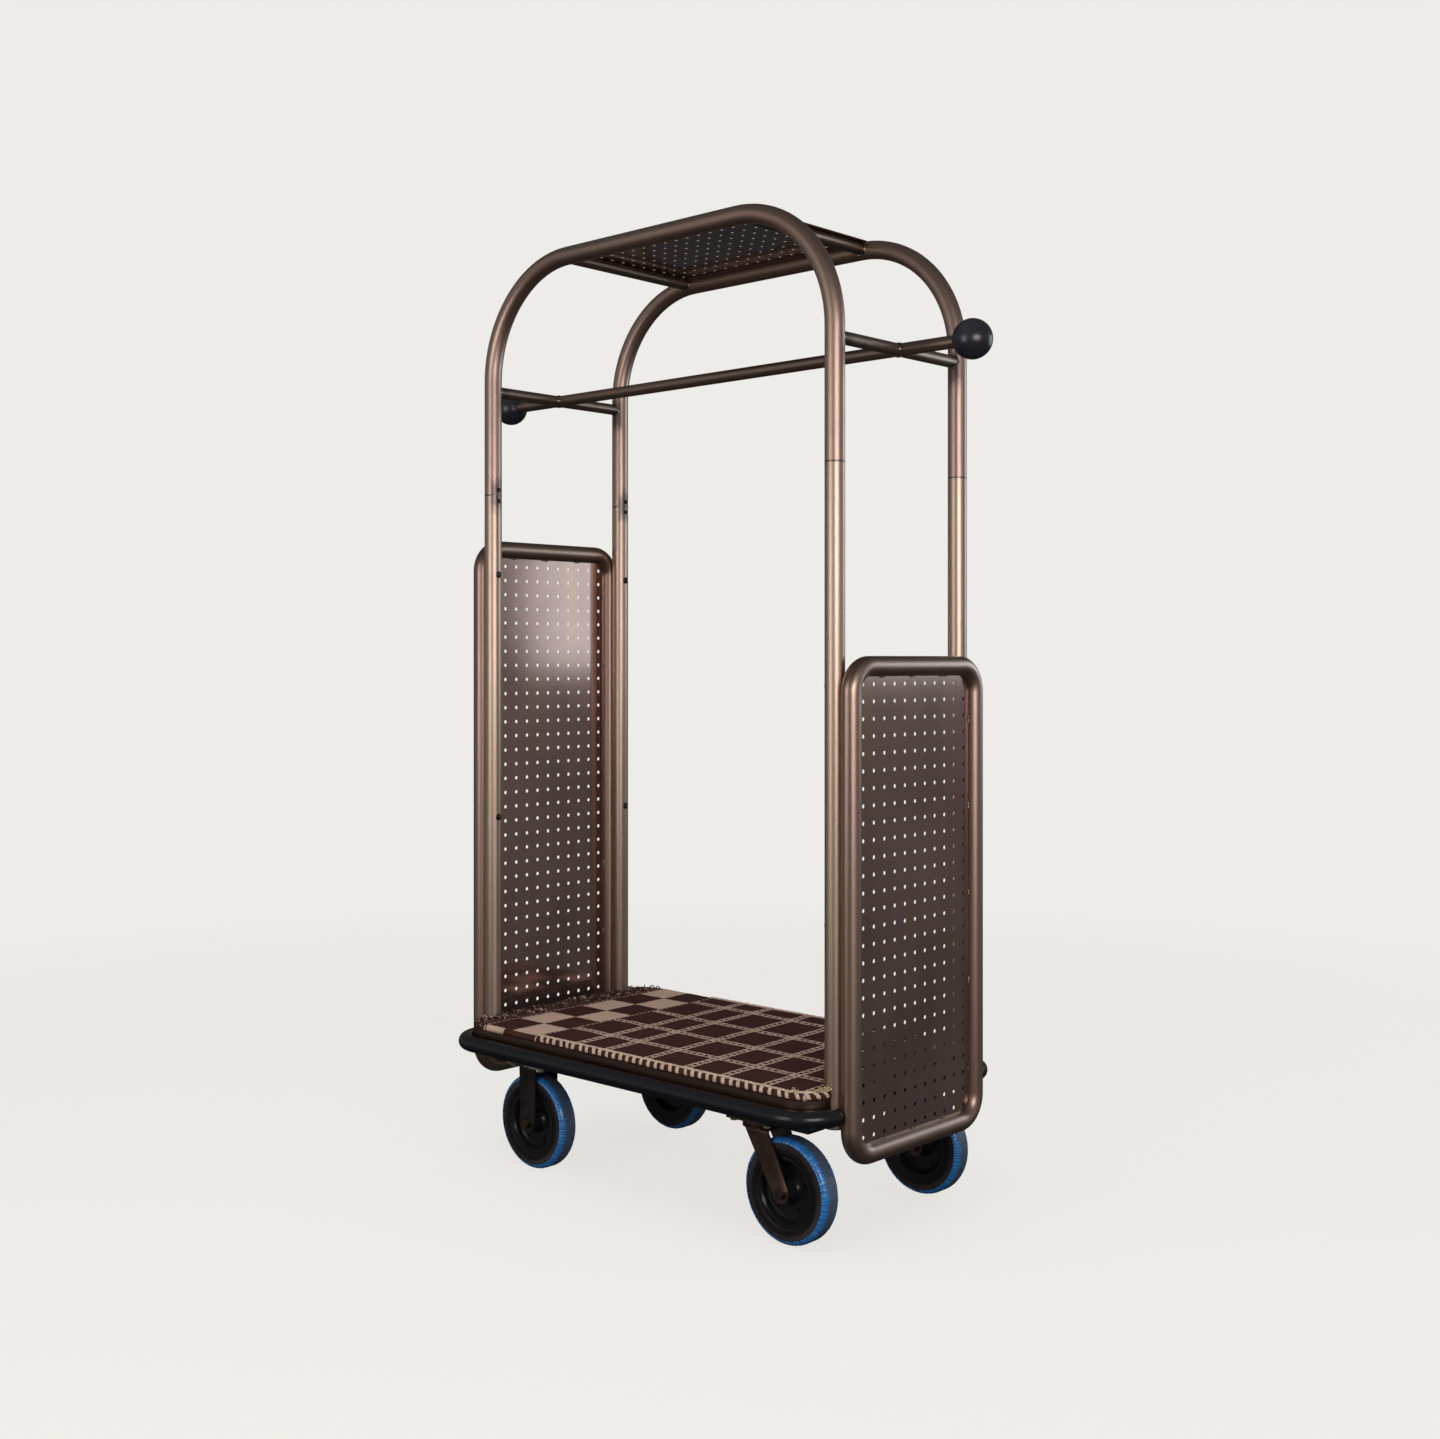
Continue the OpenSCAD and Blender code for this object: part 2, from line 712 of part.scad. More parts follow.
// Axle bolt with its head and nut outside the fork, and a spacer inside each leg
module axle_bolt(left, back) {
  shank_half = fork_half_w + 9;
  color("#77726b") on_axle(left, back) {
    translate([0, 0, fork_half_w + gap]) hex(19, 7.5);
    translate([0, 0, -shank_half]) cylinder(h = shank_half + fork_half_w + 1, r = axle_r);
    translate([0, 0, -fork_half_w - gap - 8]) difference() {
      hex(19, 8);
      translate([0, 0, -2]) cylinder(h = 12, r = axle_r + 0.05);
    }
    for (s = [-1, 1]) translate([0, 0, s * (hub_half + fork_half_w - fork_t) / 2]) difference() {
      cylinder(h = fork_half_w - fork_t - hub_half - 0.4, r = 9, center = true);
      cylinder(h = 10, r = axle_r + 0.05, center = true);
    }
  }
}

module axle_bolt_front_left() { axle_bolt(true, false); }
module axle_bolt_back_left() { axle_bolt(true, true); }
module axle_bolt_front_right() { axle_bolt(false, false); }
module axle_bolt_back_right() { axle_bolt(false, true); }

arch_front();
arch_back();
post_front_left();
post_front_right();
post_back_left();
post_back_right();
splice_sleeves();
splice_screws();
post_end_plugs();
hanging_rail();
crossbar_left();
crossbar_right();
ball_knob_left();
ball_knob_right();
roof_crossbars();
roof_panel();
roof_screws();
side_frame_left();
side_frame_right();
side_panel_left();
side_panel_right();
panel_bolts_left();
panel_bolts_right();
panel_inserts();
underframe();
deck_board();
deck_trim();
carpet();
bumper_front();
bumper_back();
rigid_fork_front_left();
rigid_fork_back_left();
swivel_plates();
swivel_bearings();
kingpins();
swivel_fork_front_right();
swivel_fork_back_right();
caster_bolts();
tyre_front_left();
tyre_back_left();
tyre_front_right();
tyre_back_right();
tread_wrap_front_left();
tread_wrap_back_left();
tread_wrap_front_right();
tread_wrap_back_right();
rim_front_left();
rim_back_left();
rim_front_right();
rim_back_right();
wheel_bearings_front_left();
wheel_bearings_back_left();
wheel_bearings_front_right();
wheel_bearings_back_right();
axle_bolt_front_left();
axle_bolt_back_left();
axle_bolt_front_right();
axle_bolt_back_right();
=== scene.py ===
"""Looks for the hotel luggage cart: materials, carpet, tyres, film and weld beads round the CAD frame."""
import math
import random

import bpy
import numpy as np
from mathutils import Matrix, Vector


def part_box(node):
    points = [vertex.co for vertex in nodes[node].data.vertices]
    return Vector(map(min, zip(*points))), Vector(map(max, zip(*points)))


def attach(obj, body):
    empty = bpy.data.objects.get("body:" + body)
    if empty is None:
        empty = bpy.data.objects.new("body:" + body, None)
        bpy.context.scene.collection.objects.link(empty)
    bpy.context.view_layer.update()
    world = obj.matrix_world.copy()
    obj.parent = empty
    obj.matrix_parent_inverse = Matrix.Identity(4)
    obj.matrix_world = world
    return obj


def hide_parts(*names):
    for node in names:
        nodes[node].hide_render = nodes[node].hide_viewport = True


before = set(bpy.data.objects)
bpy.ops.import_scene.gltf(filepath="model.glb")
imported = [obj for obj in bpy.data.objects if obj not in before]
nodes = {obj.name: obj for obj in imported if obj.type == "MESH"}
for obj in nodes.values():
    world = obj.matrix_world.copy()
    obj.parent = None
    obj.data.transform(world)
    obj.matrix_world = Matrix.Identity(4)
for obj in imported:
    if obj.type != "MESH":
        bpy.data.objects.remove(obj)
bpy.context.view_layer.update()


def span(node, axis):
    """Lowest and highest value of a CAD node along one axis, in metres."""
    low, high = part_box(node)
    return low[axis], high[axis]


def middle(node, axis):
    low, high = span(node, axis)
    return (low + high) / 2


# ---------- Measures taken from the frame ----------
POST_X = middle("post_front_right", 0)
POST_Y = middle("post_back_right", 1)
TUBE_R = (span("post_front_right", 0)[1] - span("post_front_right", 0)[0]) / 2
ARCH_Z = span("arch_front", 2)[1] - TUBE_R
ARCH_BEND_R = 0.243
SPLICE_Z = span("arch_front", 2)[0]
RAIL_Z = middle("hanging_rail", 2)
RAIL_R = (span("hanging_rail", 2)[1] - span("hanging_rail", 2)[0]) / 2
FRAME_X = middle("side_frame_right", 0)
FRAME_CORNER_R = 0.050
FRAME_BOTTOM_Z = span("side_frame_right", 2)[0] + TUBE_R
FRAME_TOP_Z = {side: span(f"side_frame_{side}", 2)[1] - TUBE_R for side in ("left", "right")}
CARPET_LOW, CARPET_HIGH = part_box("carpet")
CORNERS = ("front_left", "back_left", "front_right", "back_right")


# ---------- Camera ----------
def make_camera():
    data = bpy.data.cameras.new("camera")
    data.sensor_width = 36.0
    data.lens = 42.6
    data.shift_y = -0.0421
    data.clip_start, data.clip_end = 0.05, 200
    camera = bpy.data.objects.new("camera", data)
    camera.location = (2.4455, -2.6379, 1.0896)
    camera.rotation_euler = (math.radians(90), 0, math.radians(42.61))
    bpy.context.scene.collection.objects.link(camera)
    bpy.context.scene.camera = camera


make_camera()


# ---------- Node graphs ----------
class Graph:
    """A material's node tree, with short calls for the nodes that the materials here use."""

    def __init__(self, name):
        self.material = bpy.data.materials.new(name)
        self.material.use_nodes = True
        self.tree = self.material.node_tree
        self.tree.nodes.clear()
        self.shader = self.tree.nodes.new("ShaderNodeBsdfPrincipled")
        self.output = self.tree.nodes.new("ShaderNodeOutputMaterial")
        self.tree.links.new(self.shader.outputs[0], self.output.inputs["Surface"])
        place = self.tree.nodes.new("ShaderNodeTexCoord")
        split = self.tree.nodes.new("ShaderNodeSeparateXYZ")
        self.tree.links.new(place.outputs["Object"], split.inputs[0])
        self.place = place.outputs["Object"]
        self.x, self.y, self.z = split.outputs

    def plug(self, socket, value):
        """Links a socket to another node's output, or sets it to a plain value."""
        if isinstance(value, bpy.types.NodeSocket):
            self.tree.links.new(value, socket)
        elif value is not None:
            socket.default_value = value

    def math(self, operation, a, b=None):
        node = self.tree.nodes.new("ShaderNodeMath")
        node.operation = operation
        self.plug(node.inputs[0], a)
        self.plug(node.inputs[1], b)
        return node.outputs[0]

    def add(self, a, b):
        return self.math("ADD", a, b)

    def sub(self, a, b):
        return self.math("SUBTRACT", a, b)

    def mul(self, a, b):
        return self.math("MULTIPLY", a, b)

    def absolute(self, a):
        return self.math("ABSOLUTE", a)

    def step(self, value, low, high):
        """0 below low, 1 above high and smooth between; low may be the larger."""
        node = self.tree.nodes.new("ShaderNodeMapRange")
        node.interpolation_type = "SMOOTHSTEP"
        self.plug(node.inputs["Value"], value)
        self.plug(node.inputs["From Min"], min(low, high))
        self.plug(node.inputs["From Max"], max(low, high))
        node.inputs["To Min"].default_value = 0.0 if low < high else 1.0
        node.inputs["To Max"].default_value = 1.0 if low < high else 0.0
        return node.outputs["Result"]

    def vector(self, x, y, z):
        node = self.tree.nodes.new("ShaderNodeCombineXYZ")
        for socket, value in zip(node.inputs, (x, y, z)):
            self.plug(socket, value)
        return node.outputs[0]

    def noise(self, scale, detail=3.0, roughness=0.55, vector=None):
        node = self.tree.nodes.new("ShaderNodeTexNoise")
        self.plug(node.inputs["Vector"], self.place if vector is None else vector)
        for name, value in (("Scale", scale), ("Detail", detail), ("Roughness", roughness)):
            node.inputs[name].default_value = value
        return node.outputs["Fac"]

    def mix(self, factor, a, b):
        node = self.tree.nodes.new("ShaderNodeMix")
        node.data_type = "RGBA"
        self.plug(node.inputs[0], factor)
        for socket, value in ((node.inputs[6], a), (node.inputs[7], b)):
            self.plug(socket, (*value, 1.0) if isinstance(value, tuple) else value)
        return node.outputs[2]

    def scaled(self, value, low, high):
        """A 0 to 1 value spread over low to high."""
        node = self.tree.nodes.new("ShaderNodeMapRange")
        self.plug(node.inputs["Value"], value)
        node.inputs["To Min"].default_value = low
        node.inputs["To Max"].default_value = high
        return node.outputs["Result"]

    def bump(self, height, distance, strength=1.0, below=None):
        node = self.tree.nodes.new("ShaderNodeBump")
        node.inputs["Strength"].default_value = strength
        node.inputs["Distance"].default_value = distance
        self.plug(node.inputs["Height"], height)
        self.plug(node.inputs["Normal"], below)
        return node.outputs[0]

    def finish(self, color=None, roughness=None, normal=None, **plain):
        """Plugs the maps in and sets the sockets that are even all over."""
        self.plug(self.shader.inputs["Base Color"], (*color, 1.0) if isinstance(color, tuple) else color)
        self.plug(self.shader.inputs["Roughness"], roughness)
        self.plug(self.shader.inputs["Normal"], normal)
        for name, value in plain.items():
            self.shader.inputs[name.replace("_", " ").title().replace("Ior", "IOR")].default_value = value
        return self.material


# ---------- Brushed bronze ----------
def loop_distance(g, u, v, half_u, half_v, radius):
    """Distance from a rounded rectangle's outline, the centre line of a bent tube."""
    du = g.sub(g.absolute(u), half_u - radius)
    dv = g.sub(g.absolute(v), half_v - radius)
    over_u = g.math("MAXIMUM", du, 0.0)
    over_v = g.math("MAXIMUM", dv, 0.0)
    outside = g.math("SQRT", g.add(g.mul(over_u, over_u), g.mul(over_v, over_v)))
    inside = g.math("MINIMUM", g.math("MAXIMUM", du, dv), 0.0)
    return g.sub(g.add(outside, inside), radius)


def arch_place(g):
    """Streak coordinates of the arches: two across the tube and one along it."""
    across = loop_distance(g, g.x, g.math("MAXIMUM", g.sub(g.z, ARCH_Z - 1.0), 0.0), POST_X, 1.0, ARCH_BEND_R)
    return across, g.sub(g.absolute(g.y), POST_Y), g.add(g.z, g.absolute(g.x))


def post_place(g):
    return g.sub(g.absolute(g.x), POST_X), g.sub(g.absolute(g.y), POST_Y), g.z


def rail_place(g):
    return g.y, g.sub(g.z, RAIL_Z), g.x


def crossbar_place(g):
    return g.x, g.z, g.y


def side_frame_place(side):
    def place(g):
        top = FRAME_TOP_Z[side]
        centred = g.sub(g.z, (top + FRAME_BOTTOM_Z) / 2)
        across = loop_distance(g, g.y, centred, POST_Y, (top - FRAME_BOTTOM_Z) / 2, FRAME_CORNER_R)
        return across, g.sub(g.absolute(g.x), FRAME_X), g.add(g.z, g.absolute(g.y))
    return place


def bronze(name, place, dark, light, warm, roughness=(0.37, 0.46), smudge=None):
    """Lacquered antique bronze: long soft streaks of colour along the tube, fine brush lines, dark smudges."""
    g = Graph(name)
    u, v, along = place(g)
    broad = g.noise(1.0, 2.0, 0.5, g.vector(g.mul(u, 85.0), g.mul(v, 85.0), g.mul(along, 0.9)))
    hue = g.noise(1.0, 1.5, 0.5, g.vector(g.mul(u, 70.0), g.mul(v, 70.0), g.add(g.mul(along, 1.3), 7.0)))
    fine = g.noise(1.0, 3.0, 0.7, g.vector(g.mul(u, 400.0), g.mul(v, 400.0), g.mul(along, 0.5)))
    cloud = g.noise(9.0, 4.0, 0.6)
    tint = g.mix(g.step(hue, 0.38, 0.62), light, warm)
    tone = g.add(g.mul(g.step(broad, 0.22, 0.62), 0.9), g.mul(fine, 0.1))
    color = g.mix(tone, dark, tint)
    color = g.mix(g.mul(g.step(cloud, 0.58, 0.8), 0.35), color, dark)
    if smudge is not None:
        color = g.mix(smudge(g), color, (0.05, 0.035, 0.045))
    rough = g.scaled(g.add(g.mul(fine, 0.12), g.mul(cloud, 0.88)), *roughness)
    return g.finish(color, rough, metallic=1.0, coat_weight=1.0, coat_roughness=0.33)


def joint_smudge(g):
    """Dirt in the joint between post and arch, and heat tint by the splice screws and the crossbar welds."""
    seam = g.step(g.absolute(g.sub(g.z, SPLICE_Z)), 0.0022, 0.0012)
    inner = g.step(g.sub(g.absolute(g.x), POST_X), -0.006, -0.016)
    ragged = g.mul(g.sub(g.noise(60.0, 4.0), 0.5), 0.05)
    near_splice = g.step(g.absolute(g.add(g.sub(g.z, SPLICE_Z), ragged)), 0.045, 0.018)
    inward = g.step(g.sub(g.absolute(g.y), POST_Y), -0.004, -0.014)
    near_rail = g.step(g.absolute(g.add(g.sub(g.z, RAIL_Z - 0.012), ragged)), 0.05, 0.015)
    both = g.math("MAXIMUM", g.mul(inner, near_splice), g.mul(inward, near_rail))
    return g.math("MAXIMUM", g.mul(both, 0.75), g.mul(seam, 0.85))


def weld_smudge(g):
    """Heat tint where a bar is welded in at each end."""
    end = g.step(g.absolute(g.y), POST_Y - 0.05, POST_Y - 0.022)
    return g.mul(end, g.scaled(g.noise(70.0, 4.0), 0.2, 0.8))


def paint(names, material):
    for name in names:
        slots = nodes[name].data.materials
        slots.clear()
        slots.append(material)


def smooth(name):
    """Smooth shading with the sharp edges kept."""
    nodes[name].data.shade_smooth()
    nodes[name].data.set_sharp_from_angle(angle=math.radians(35))


def dress_tubes():
    arch_tones = (0.31, 0.19, 0.16), (0.49, 0.32, 0.265), (0.50, 0.35, 0.265)
    paint(("arch_front", "arch_back"), bronze("arch_bronze", arch_place, *arch_tones, smudge=joint_smudge))
    post_tones = (0.35, 0.225, 0.17), (0.53, 0.375, 0.30), (0.57, 0.435, 0.325)
    paint([f"post_{corner}" for corner in CORNERS],
          bronze("post_bronze", post_place, *post_tones, smudge=joint_smudge))
    rail_tones = (0.17, 0.11, 0.088), (0.38, 0.26, 0.205), (0.37, 0.27, 0.19)
    paint(["hanging_rail"], bronze("rail_bronze", rail_place, *rail_tones))
    bars = ("crossbar_left", "crossbar_right", "roof_crossbars")
    paint(bars, bronze("crossbar_bronze", crossbar_place, *rail_tones, smudge=weld_smudge))
    frame_tones = (0.22, 0.132, 0.108), (0.41, 0.265, 0.215), (0.41, 0.285, 0.195)
    for side in ("left", "right"):
        paint([f"side_frame_{side}"], bronze(f"side_frame_{side}_bronze", side_frame_place(side), *frame_tones))


def sheet_metal():
    """Satin dark bronze sheet, with faint golden streaks and a slight waviness."""
    g = Graph("sheet_bronze")
    cloud = g.noise(4.0, 4.0, 0.6)
    streak = g.noise(1.0, 2.0, 0.5, g.vector(g.mul(g.x, 12.0), g.mul(g.y, 12.0), g.mul(g.z, 1.8)))
    grain = g.noise(700.0, 2.0)
    color = g.mix(g.step(cloud, 0.3, 0.7), (0.265, 0.172, 0.156), (0.35, 0.230, 0.210))
    color = g.mix(g.mul(g.step(streak, 0.48, 0.72), 0.4), color, (0.34, 0.235, 0.125))
    wave = g.bump(g.noise(2.2, 1.0), 0.0010, 0.2)
    return g.finish(color, g.scaled(g.add(g.mul(cloud, 0.5), g.mul(grain, 0.5)), 0.10, 0.15),
                    g.bump(grain, 0.00002, 0.04, wave), metallic=0.9, coat_weight=0.5, coat_roughness=0.1)


def trim_metal():
    g = Graph("trim_bronze")
    fine = g.noise(1.0, 3.0, 0.7, g.vector(g.mul(g.x, 20.0), g.mul(g.y, 20.0), g.mul(g.z, 900.0)))
    color = g.mix(fine, (0.12, 0.075, 0.058), (0.26, 0.165, 0.125))
    return g.finish(color, g.scaled(fine, 0.24, 0.38), g.bump(fine, 0.00005, 0.3), metallic=1.0)


def painted_steel(name, dark, light, roughness=(0.38, 0.55), metallic=0.4, bare_from=None):
    """Sprayed paint with orange peel and dusty clouds, rubbed to bare metal above a height if one is given."""
    g = Graph(name)
    cloud = g.noise(28.0, 5.0, 0.65)
    peel = g.noise(900.0, 2.0)
    color = g.mix(g.step(cloud, 0.3, 0.72), dark, light)
    if bare_from is not None:
        rubbed = g.mul(g.step(g.z, bare_from, bare_from + 0.0006), g.step(g.noise(32.0, 3.0), 0.46, 0.56))
        color = g.mix(rubbed, color, (0.33, 0.30, 0.27))
    return g.finish(color, g.scaled(cloud, *roughness), g.bump(peel, 0.00008, 0.3), metallic=metallic,
                    specular_ior_level=0.3)


def zinc():
    g = Graph("zinc")
    cloud = g.noise(160.0, 4.0, 0.6)
    color = g.mix(g.step(cloud, 0.3, 0.7), (0.38, 0.36, 0.32), (0.62, 0.60, 0.55))
    return g.finish(color, g.scaled(cloud, 0.3, 0.5), g.bump(g.noise(1200.0), 0.00003, 0.3), metallic=1.0)


def moulded(name, dark, light, roughness, grain=1400.0, depth=0.00005, **plain):
    """Moulded plastic or rubber: faint clouds and a fine grain."""
    g = Graph(name)
    cloud = g.noise(14.0, 4.0, 0.6)
    fine = g.noise(grain, 2.0)
    rough = g.scaled(g.add(g.mul(cloud, 0.6), g.mul(fine, 0.4)), *roughness)
    return g.finish(g.mix(cloud, dark, light), rough, g.bump(fine, depth, 0.35), **plain)


def bumper_rubber():
    """Extruded rubber with a soft shine, long waves, and a little dust on its upper side."""
    g = Graph("bumper_rubber")
    wave = g.noise(1.0, 2.0, 0.5, g.vector(g.mul(g.x, 26.0), g.mul(g.y, 26.0), g.mul(g.z, 60.0)))
    dust = g.noise(220.0, 4.0, 0.7)
    top = g.step(g.z, middle("bumper_front", 2), span("bumper_front", 2)[1])
    color = g.mix(g.mul(g.mul(top, dust), 0.3), (0.006, 0.006, 0.008), (0.022, 0.019, 0.021))
    rough = g.scaled(g.add(g.mul(wave, 0.5), g.mul(dust, 0.5)), 0.20, 0.34)
    return g.finish(color, rough, g.bump(wave, 0.0008, 0.4, g.bump(dust, 0.00004, 0.15)), specular_ior_level=0.4)


def plywood():
    g = Graph("plywood")
    grain = g.noise(1.0, 4.0, 0.6, g.vector(g.mul(g.x, 12.0), g.mul(g.y, 160.0), g.mul(g.z, 20.0)))
    ply = g.step(g.math("FRACT", g.mul(g.z, 1000.0 / 2.6)), 0.42, 0.58)
    color = g.mix(grain, (0.34, 0.21, 0.11), (0.56, 0.40, 0.24))
    color = g.mix(g.mul(ply, 0.45), color, (0.24, 0.14, 0.075))
    return g.finish(color, g.scaled(grain, 0.5, 0.7), g.bump(grain, 0.0002, 0.5))


def dress_metal_and_plastic():
    paint(("roof_panel", "side_panel_left", "side_panel_right"), sheet_metal())
    paint(["deck_trim"], trim_metal())
    paint(("ball_knob_left", "ball_knob_right"),
          moulded("knob", (0.010, 0.010, 0.015), (0.016, 0.016, 0.023), (0.22, 0.30)))
    paint(("bumper_front", "bumper_back"), bumper_rubber())
    paint(["deck_board"], plywood())
    paint(["post_end_plugs"], moulded("plug", (0.015, 0.015, 0.016), (0.03, 0.03, 0.03), (0.45, 0.6)))
    mounting_plate_t = 0.0056
    paint(["underframe"],
          painted_steel("black_paint", (0.007, 0.0055, 0.0055), (0.016, 0.0125, 0.0115), metallic=0.2))
    paint(("rigid_fork_front_left", "rigid_fork_back_left"),
          painted_steel("rubbed_paint", (0.007, 0.0055, 0.0055), (0.018, 0.014, 0.013), metallic=0.2,
                        bare_from=span("swivel_plates", 2)[1] - mounting_plate_t))
    paint(("swivel_fork_front_right", "swivel_fork_back_right", "swivel_plates"),
          painted_steel("fork_paint", (0.085, 0.052, 0.042), (0.17, 0.108, 0.088), (0.26, 0.40), 0.9))
    paint(("splice_screws", "panel_bolts_left", "panel_bolts_right"),
          painted_steel("black_screw", (0.02, 0.018, 0.018), (0.07, 0.062, 0.058), (0.25, 0.4), 0.9))
    paint([f"axle_bolt_{w}" for w in CORNERS],
          painted_steel("axle_steel", (0.07, 0.050, 0.040), (0.20, 0.145, 0.115), (0.28, 0.42), 1.0))
    small = ["splice_sleeves", "roof_screws", "panel_inserts", "swivel_bearings", "kingpins", "caster_bolts"]
    paint(small + [f"wheel_bearings_{w}" for w in CORNERS], zinc())
    paint([f"rim_{w}" for w in CORNERS],
          moulded("rim_plastic", (0.0045, 0.004, 0.005), (0.010, 0.009, 0.011), (0.22, 0.36), 600.0, 0.00006,
                  specular_ior_level=0.35))
    for name in nodes:
        smooth(name)


# ---------- Mesh building ----------
class Shape:
    """Collects vertices and faces, in metres, and turns them into a piece of the cart."""

    def __init__(self):
        self.vertices, self.faces = [], []

    def add(self, vertices, faces):
        base = len(self.vertices)
        self.vertices.extend(vertices)
        self.faces.extend(tuple(base + i for i in face) for face in faces)

    def piece(self, name, material, body, slot, place=(0, 0, 0)):
        mesh = bpy.data.meshes.new(name)
        mesh.from_pydata([tuple(map(float, v)) for v in self.vertices], [], self.faces)
        mesh.validate()
        mesh.materials.append(material)
        mesh.shade_smooth()
        obj = bpy.data.objects.new(name, mesh)
        obj.location = place
        bpy.context.scene.collection.objects.link(obj)
        bpy.context.view_layer.update()
        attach(obj, body)
        return obj


def smooth_path(points, step):
    """Points at even steps on a Catmull-Rom curve through the given points."""
    p = np.array(points, float)
    p = np.vstack([2 * p[0] - p[1], p, 2 * p[-1] - p[-2]])
    curve = []
    for a, b, c, d in zip(p, p[1:], p[2:], p[3:]):
        count = max(2, int(np.linalg.norm(c - b) / step))
        for t in np.arange(count) / count:
            curve.append(0.5 * (2 * b + (c - a) * t + (2 * a - 5 * b + 4 * c - d) * t ** 2
                                + (3 * b - a - 3 * c + d) * t ** 3))
    curve.append(p[-2])
    return np.array(curve)


def sweep(shape, path, radius, closed=False, sides=8):
    """A tube along a path. radius is one number, or a function of (length so far, angle round the tube)."""
    path = np.asarray(path, float)
    count = len(path)
    ahead = np.roll(path, -1, 0) - np.roll(path, 1, 0)
    if not closed:
        ahead[0], ahead[-1] = path[1] - path[0], path[-1] - path[-2]
    ahead /= np.linalg.norm(ahead, axis=1)[:, None]
    side = np.cross(ahead[0], (0, 0, 1) if abs(ahead[0][2]) < 0.9 else (1, 0, 0))
    length, rings = 0.0, []
    for i in range(count):
        side -= ahead[i] * side.dot(ahead[i])
        side /= np.linalg.norm(side)
        up = np.cross(ahead[i], side)
        length += np.linalg.norm(path[i] - path[i - 1]) if i else 0.0
        for k in range(sides):
            angle = 2 * math.pi * k / sides
            r = radius(length, angle) if callable(radius) else radius
            rings.append(path[i] + r * (math.cos(angle) * side + math.sin(angle) * up))
    faces = []
    for i in range(count if closed else count - 1):
        for k in range(sides):
            a, b = i * sides + k, i * sides + (k + 1) % sides
            j = (i + 1) % count - i
            faces.append((a, b, b + j * sides, a + j * sides))
    if not closed:
        faces.append(tuple(range(sides))[::-1])
        faces.append(tuple((count - 1) * sides + k for k in range(sides)))
    shape.add(rings, faces)


def yarn(shape, points, radius, step=0.0016, sides=8):
    """A two-ply twisted wool yarn through the points."""
    pitch, ply = radius * 7, 0.22

    def twisted(length, angle):
        return radius * (1 + ply * math.cos(2 * (angle - 2 * math.pi * length / pitch)))

    sweep(shape, smooth_path(points, step), twisted, sides=sides)


def ring(shape, profile, segments, warp=None):
    """Turns a closed profile of (radius, y) points round the Y axis; warp(angle, radius, y) moves a point."""
    vertices, count = [], len(profile)
    for i in range(segments):
        angle = 2 * math.pi * i / segments
        for r, y in profile:
            if warp:
                r, y = warp(angle, r, y)
            vertices.append((r * math.cos(angle), y, r * math.sin(angle)))
    faces = []
    for i in range(segments):
        j = (i + 1) % segments
        for k in range(count):
            m = (k + 1) % count
            faces.append((i * count + k, i * count + m, j * count + m, j * count + k))
    shape.add(vertices, faces)


# ---------- Carpet ----------
DECK_CORNER_R = 0.059
NOTCH_R = 0.0194
CARPET_HALF_X, CARPET_HALF_Y = CARPET_HIGH[0], CARPET_HIGH[1]
SQUARES_FROM_X = -0.409
PLAIN_FROM_X = -0.254
SQUARE_X, SQUARE_Y = 0.0775, 0.0925
BANDS_X = (-0.148, -0.064, 0.049, 0.158, 0.256, 0.360, 0.452)
BANDS_Y = (-0.162, -0.045, 0.075, 0.205)
WORN_TO_X = -0.423
STITCH_PITCH = 0.0197
POSTS = [(sx * POST_X, sy * POST_Y) for sx in (-1, 1) for sy in (-1, 1)]


def carpet_edge(x, y):
    """Distance outside the carpet's outline, with its notches round the posts; negative inside."""
    du = np.abs(x) - (CARPET_HALF_X - DECK_CORNER_R)
    dv = np.abs(y) - (CARPET_HALF_Y - DECK_CORNER_R)
    outline = np.hypot(np.maximum(du, 0), np.maximum(dv, 0)) + np.minimum(np.maximum(du, dv), 0) - DECK_CORNER_R
    for px, py in POSTS:
        outline = np.maximum(outline, NOTCH_R + 0.0006 - np.hypot(x - px, y - py))
    return outline


def lumps(x, y, size, seed):
    """Smooth pseudo-random waves of about the given size, between -1 and 1."""
    rng = np.random.default_rng(seed)
    total = np.zeros_like(x)
    for _ in range(6):
        angle, phase = rng.uniform(0, math.pi), rng.uniform(0, 2 * math.pi)
        wave = rng.uniform(0.7, 1.4) * 2 * math.pi / size
        total += np.sin(wave * (x * math.cos(angle) + y * math.sin(angle)) + phase)
    return total / 6


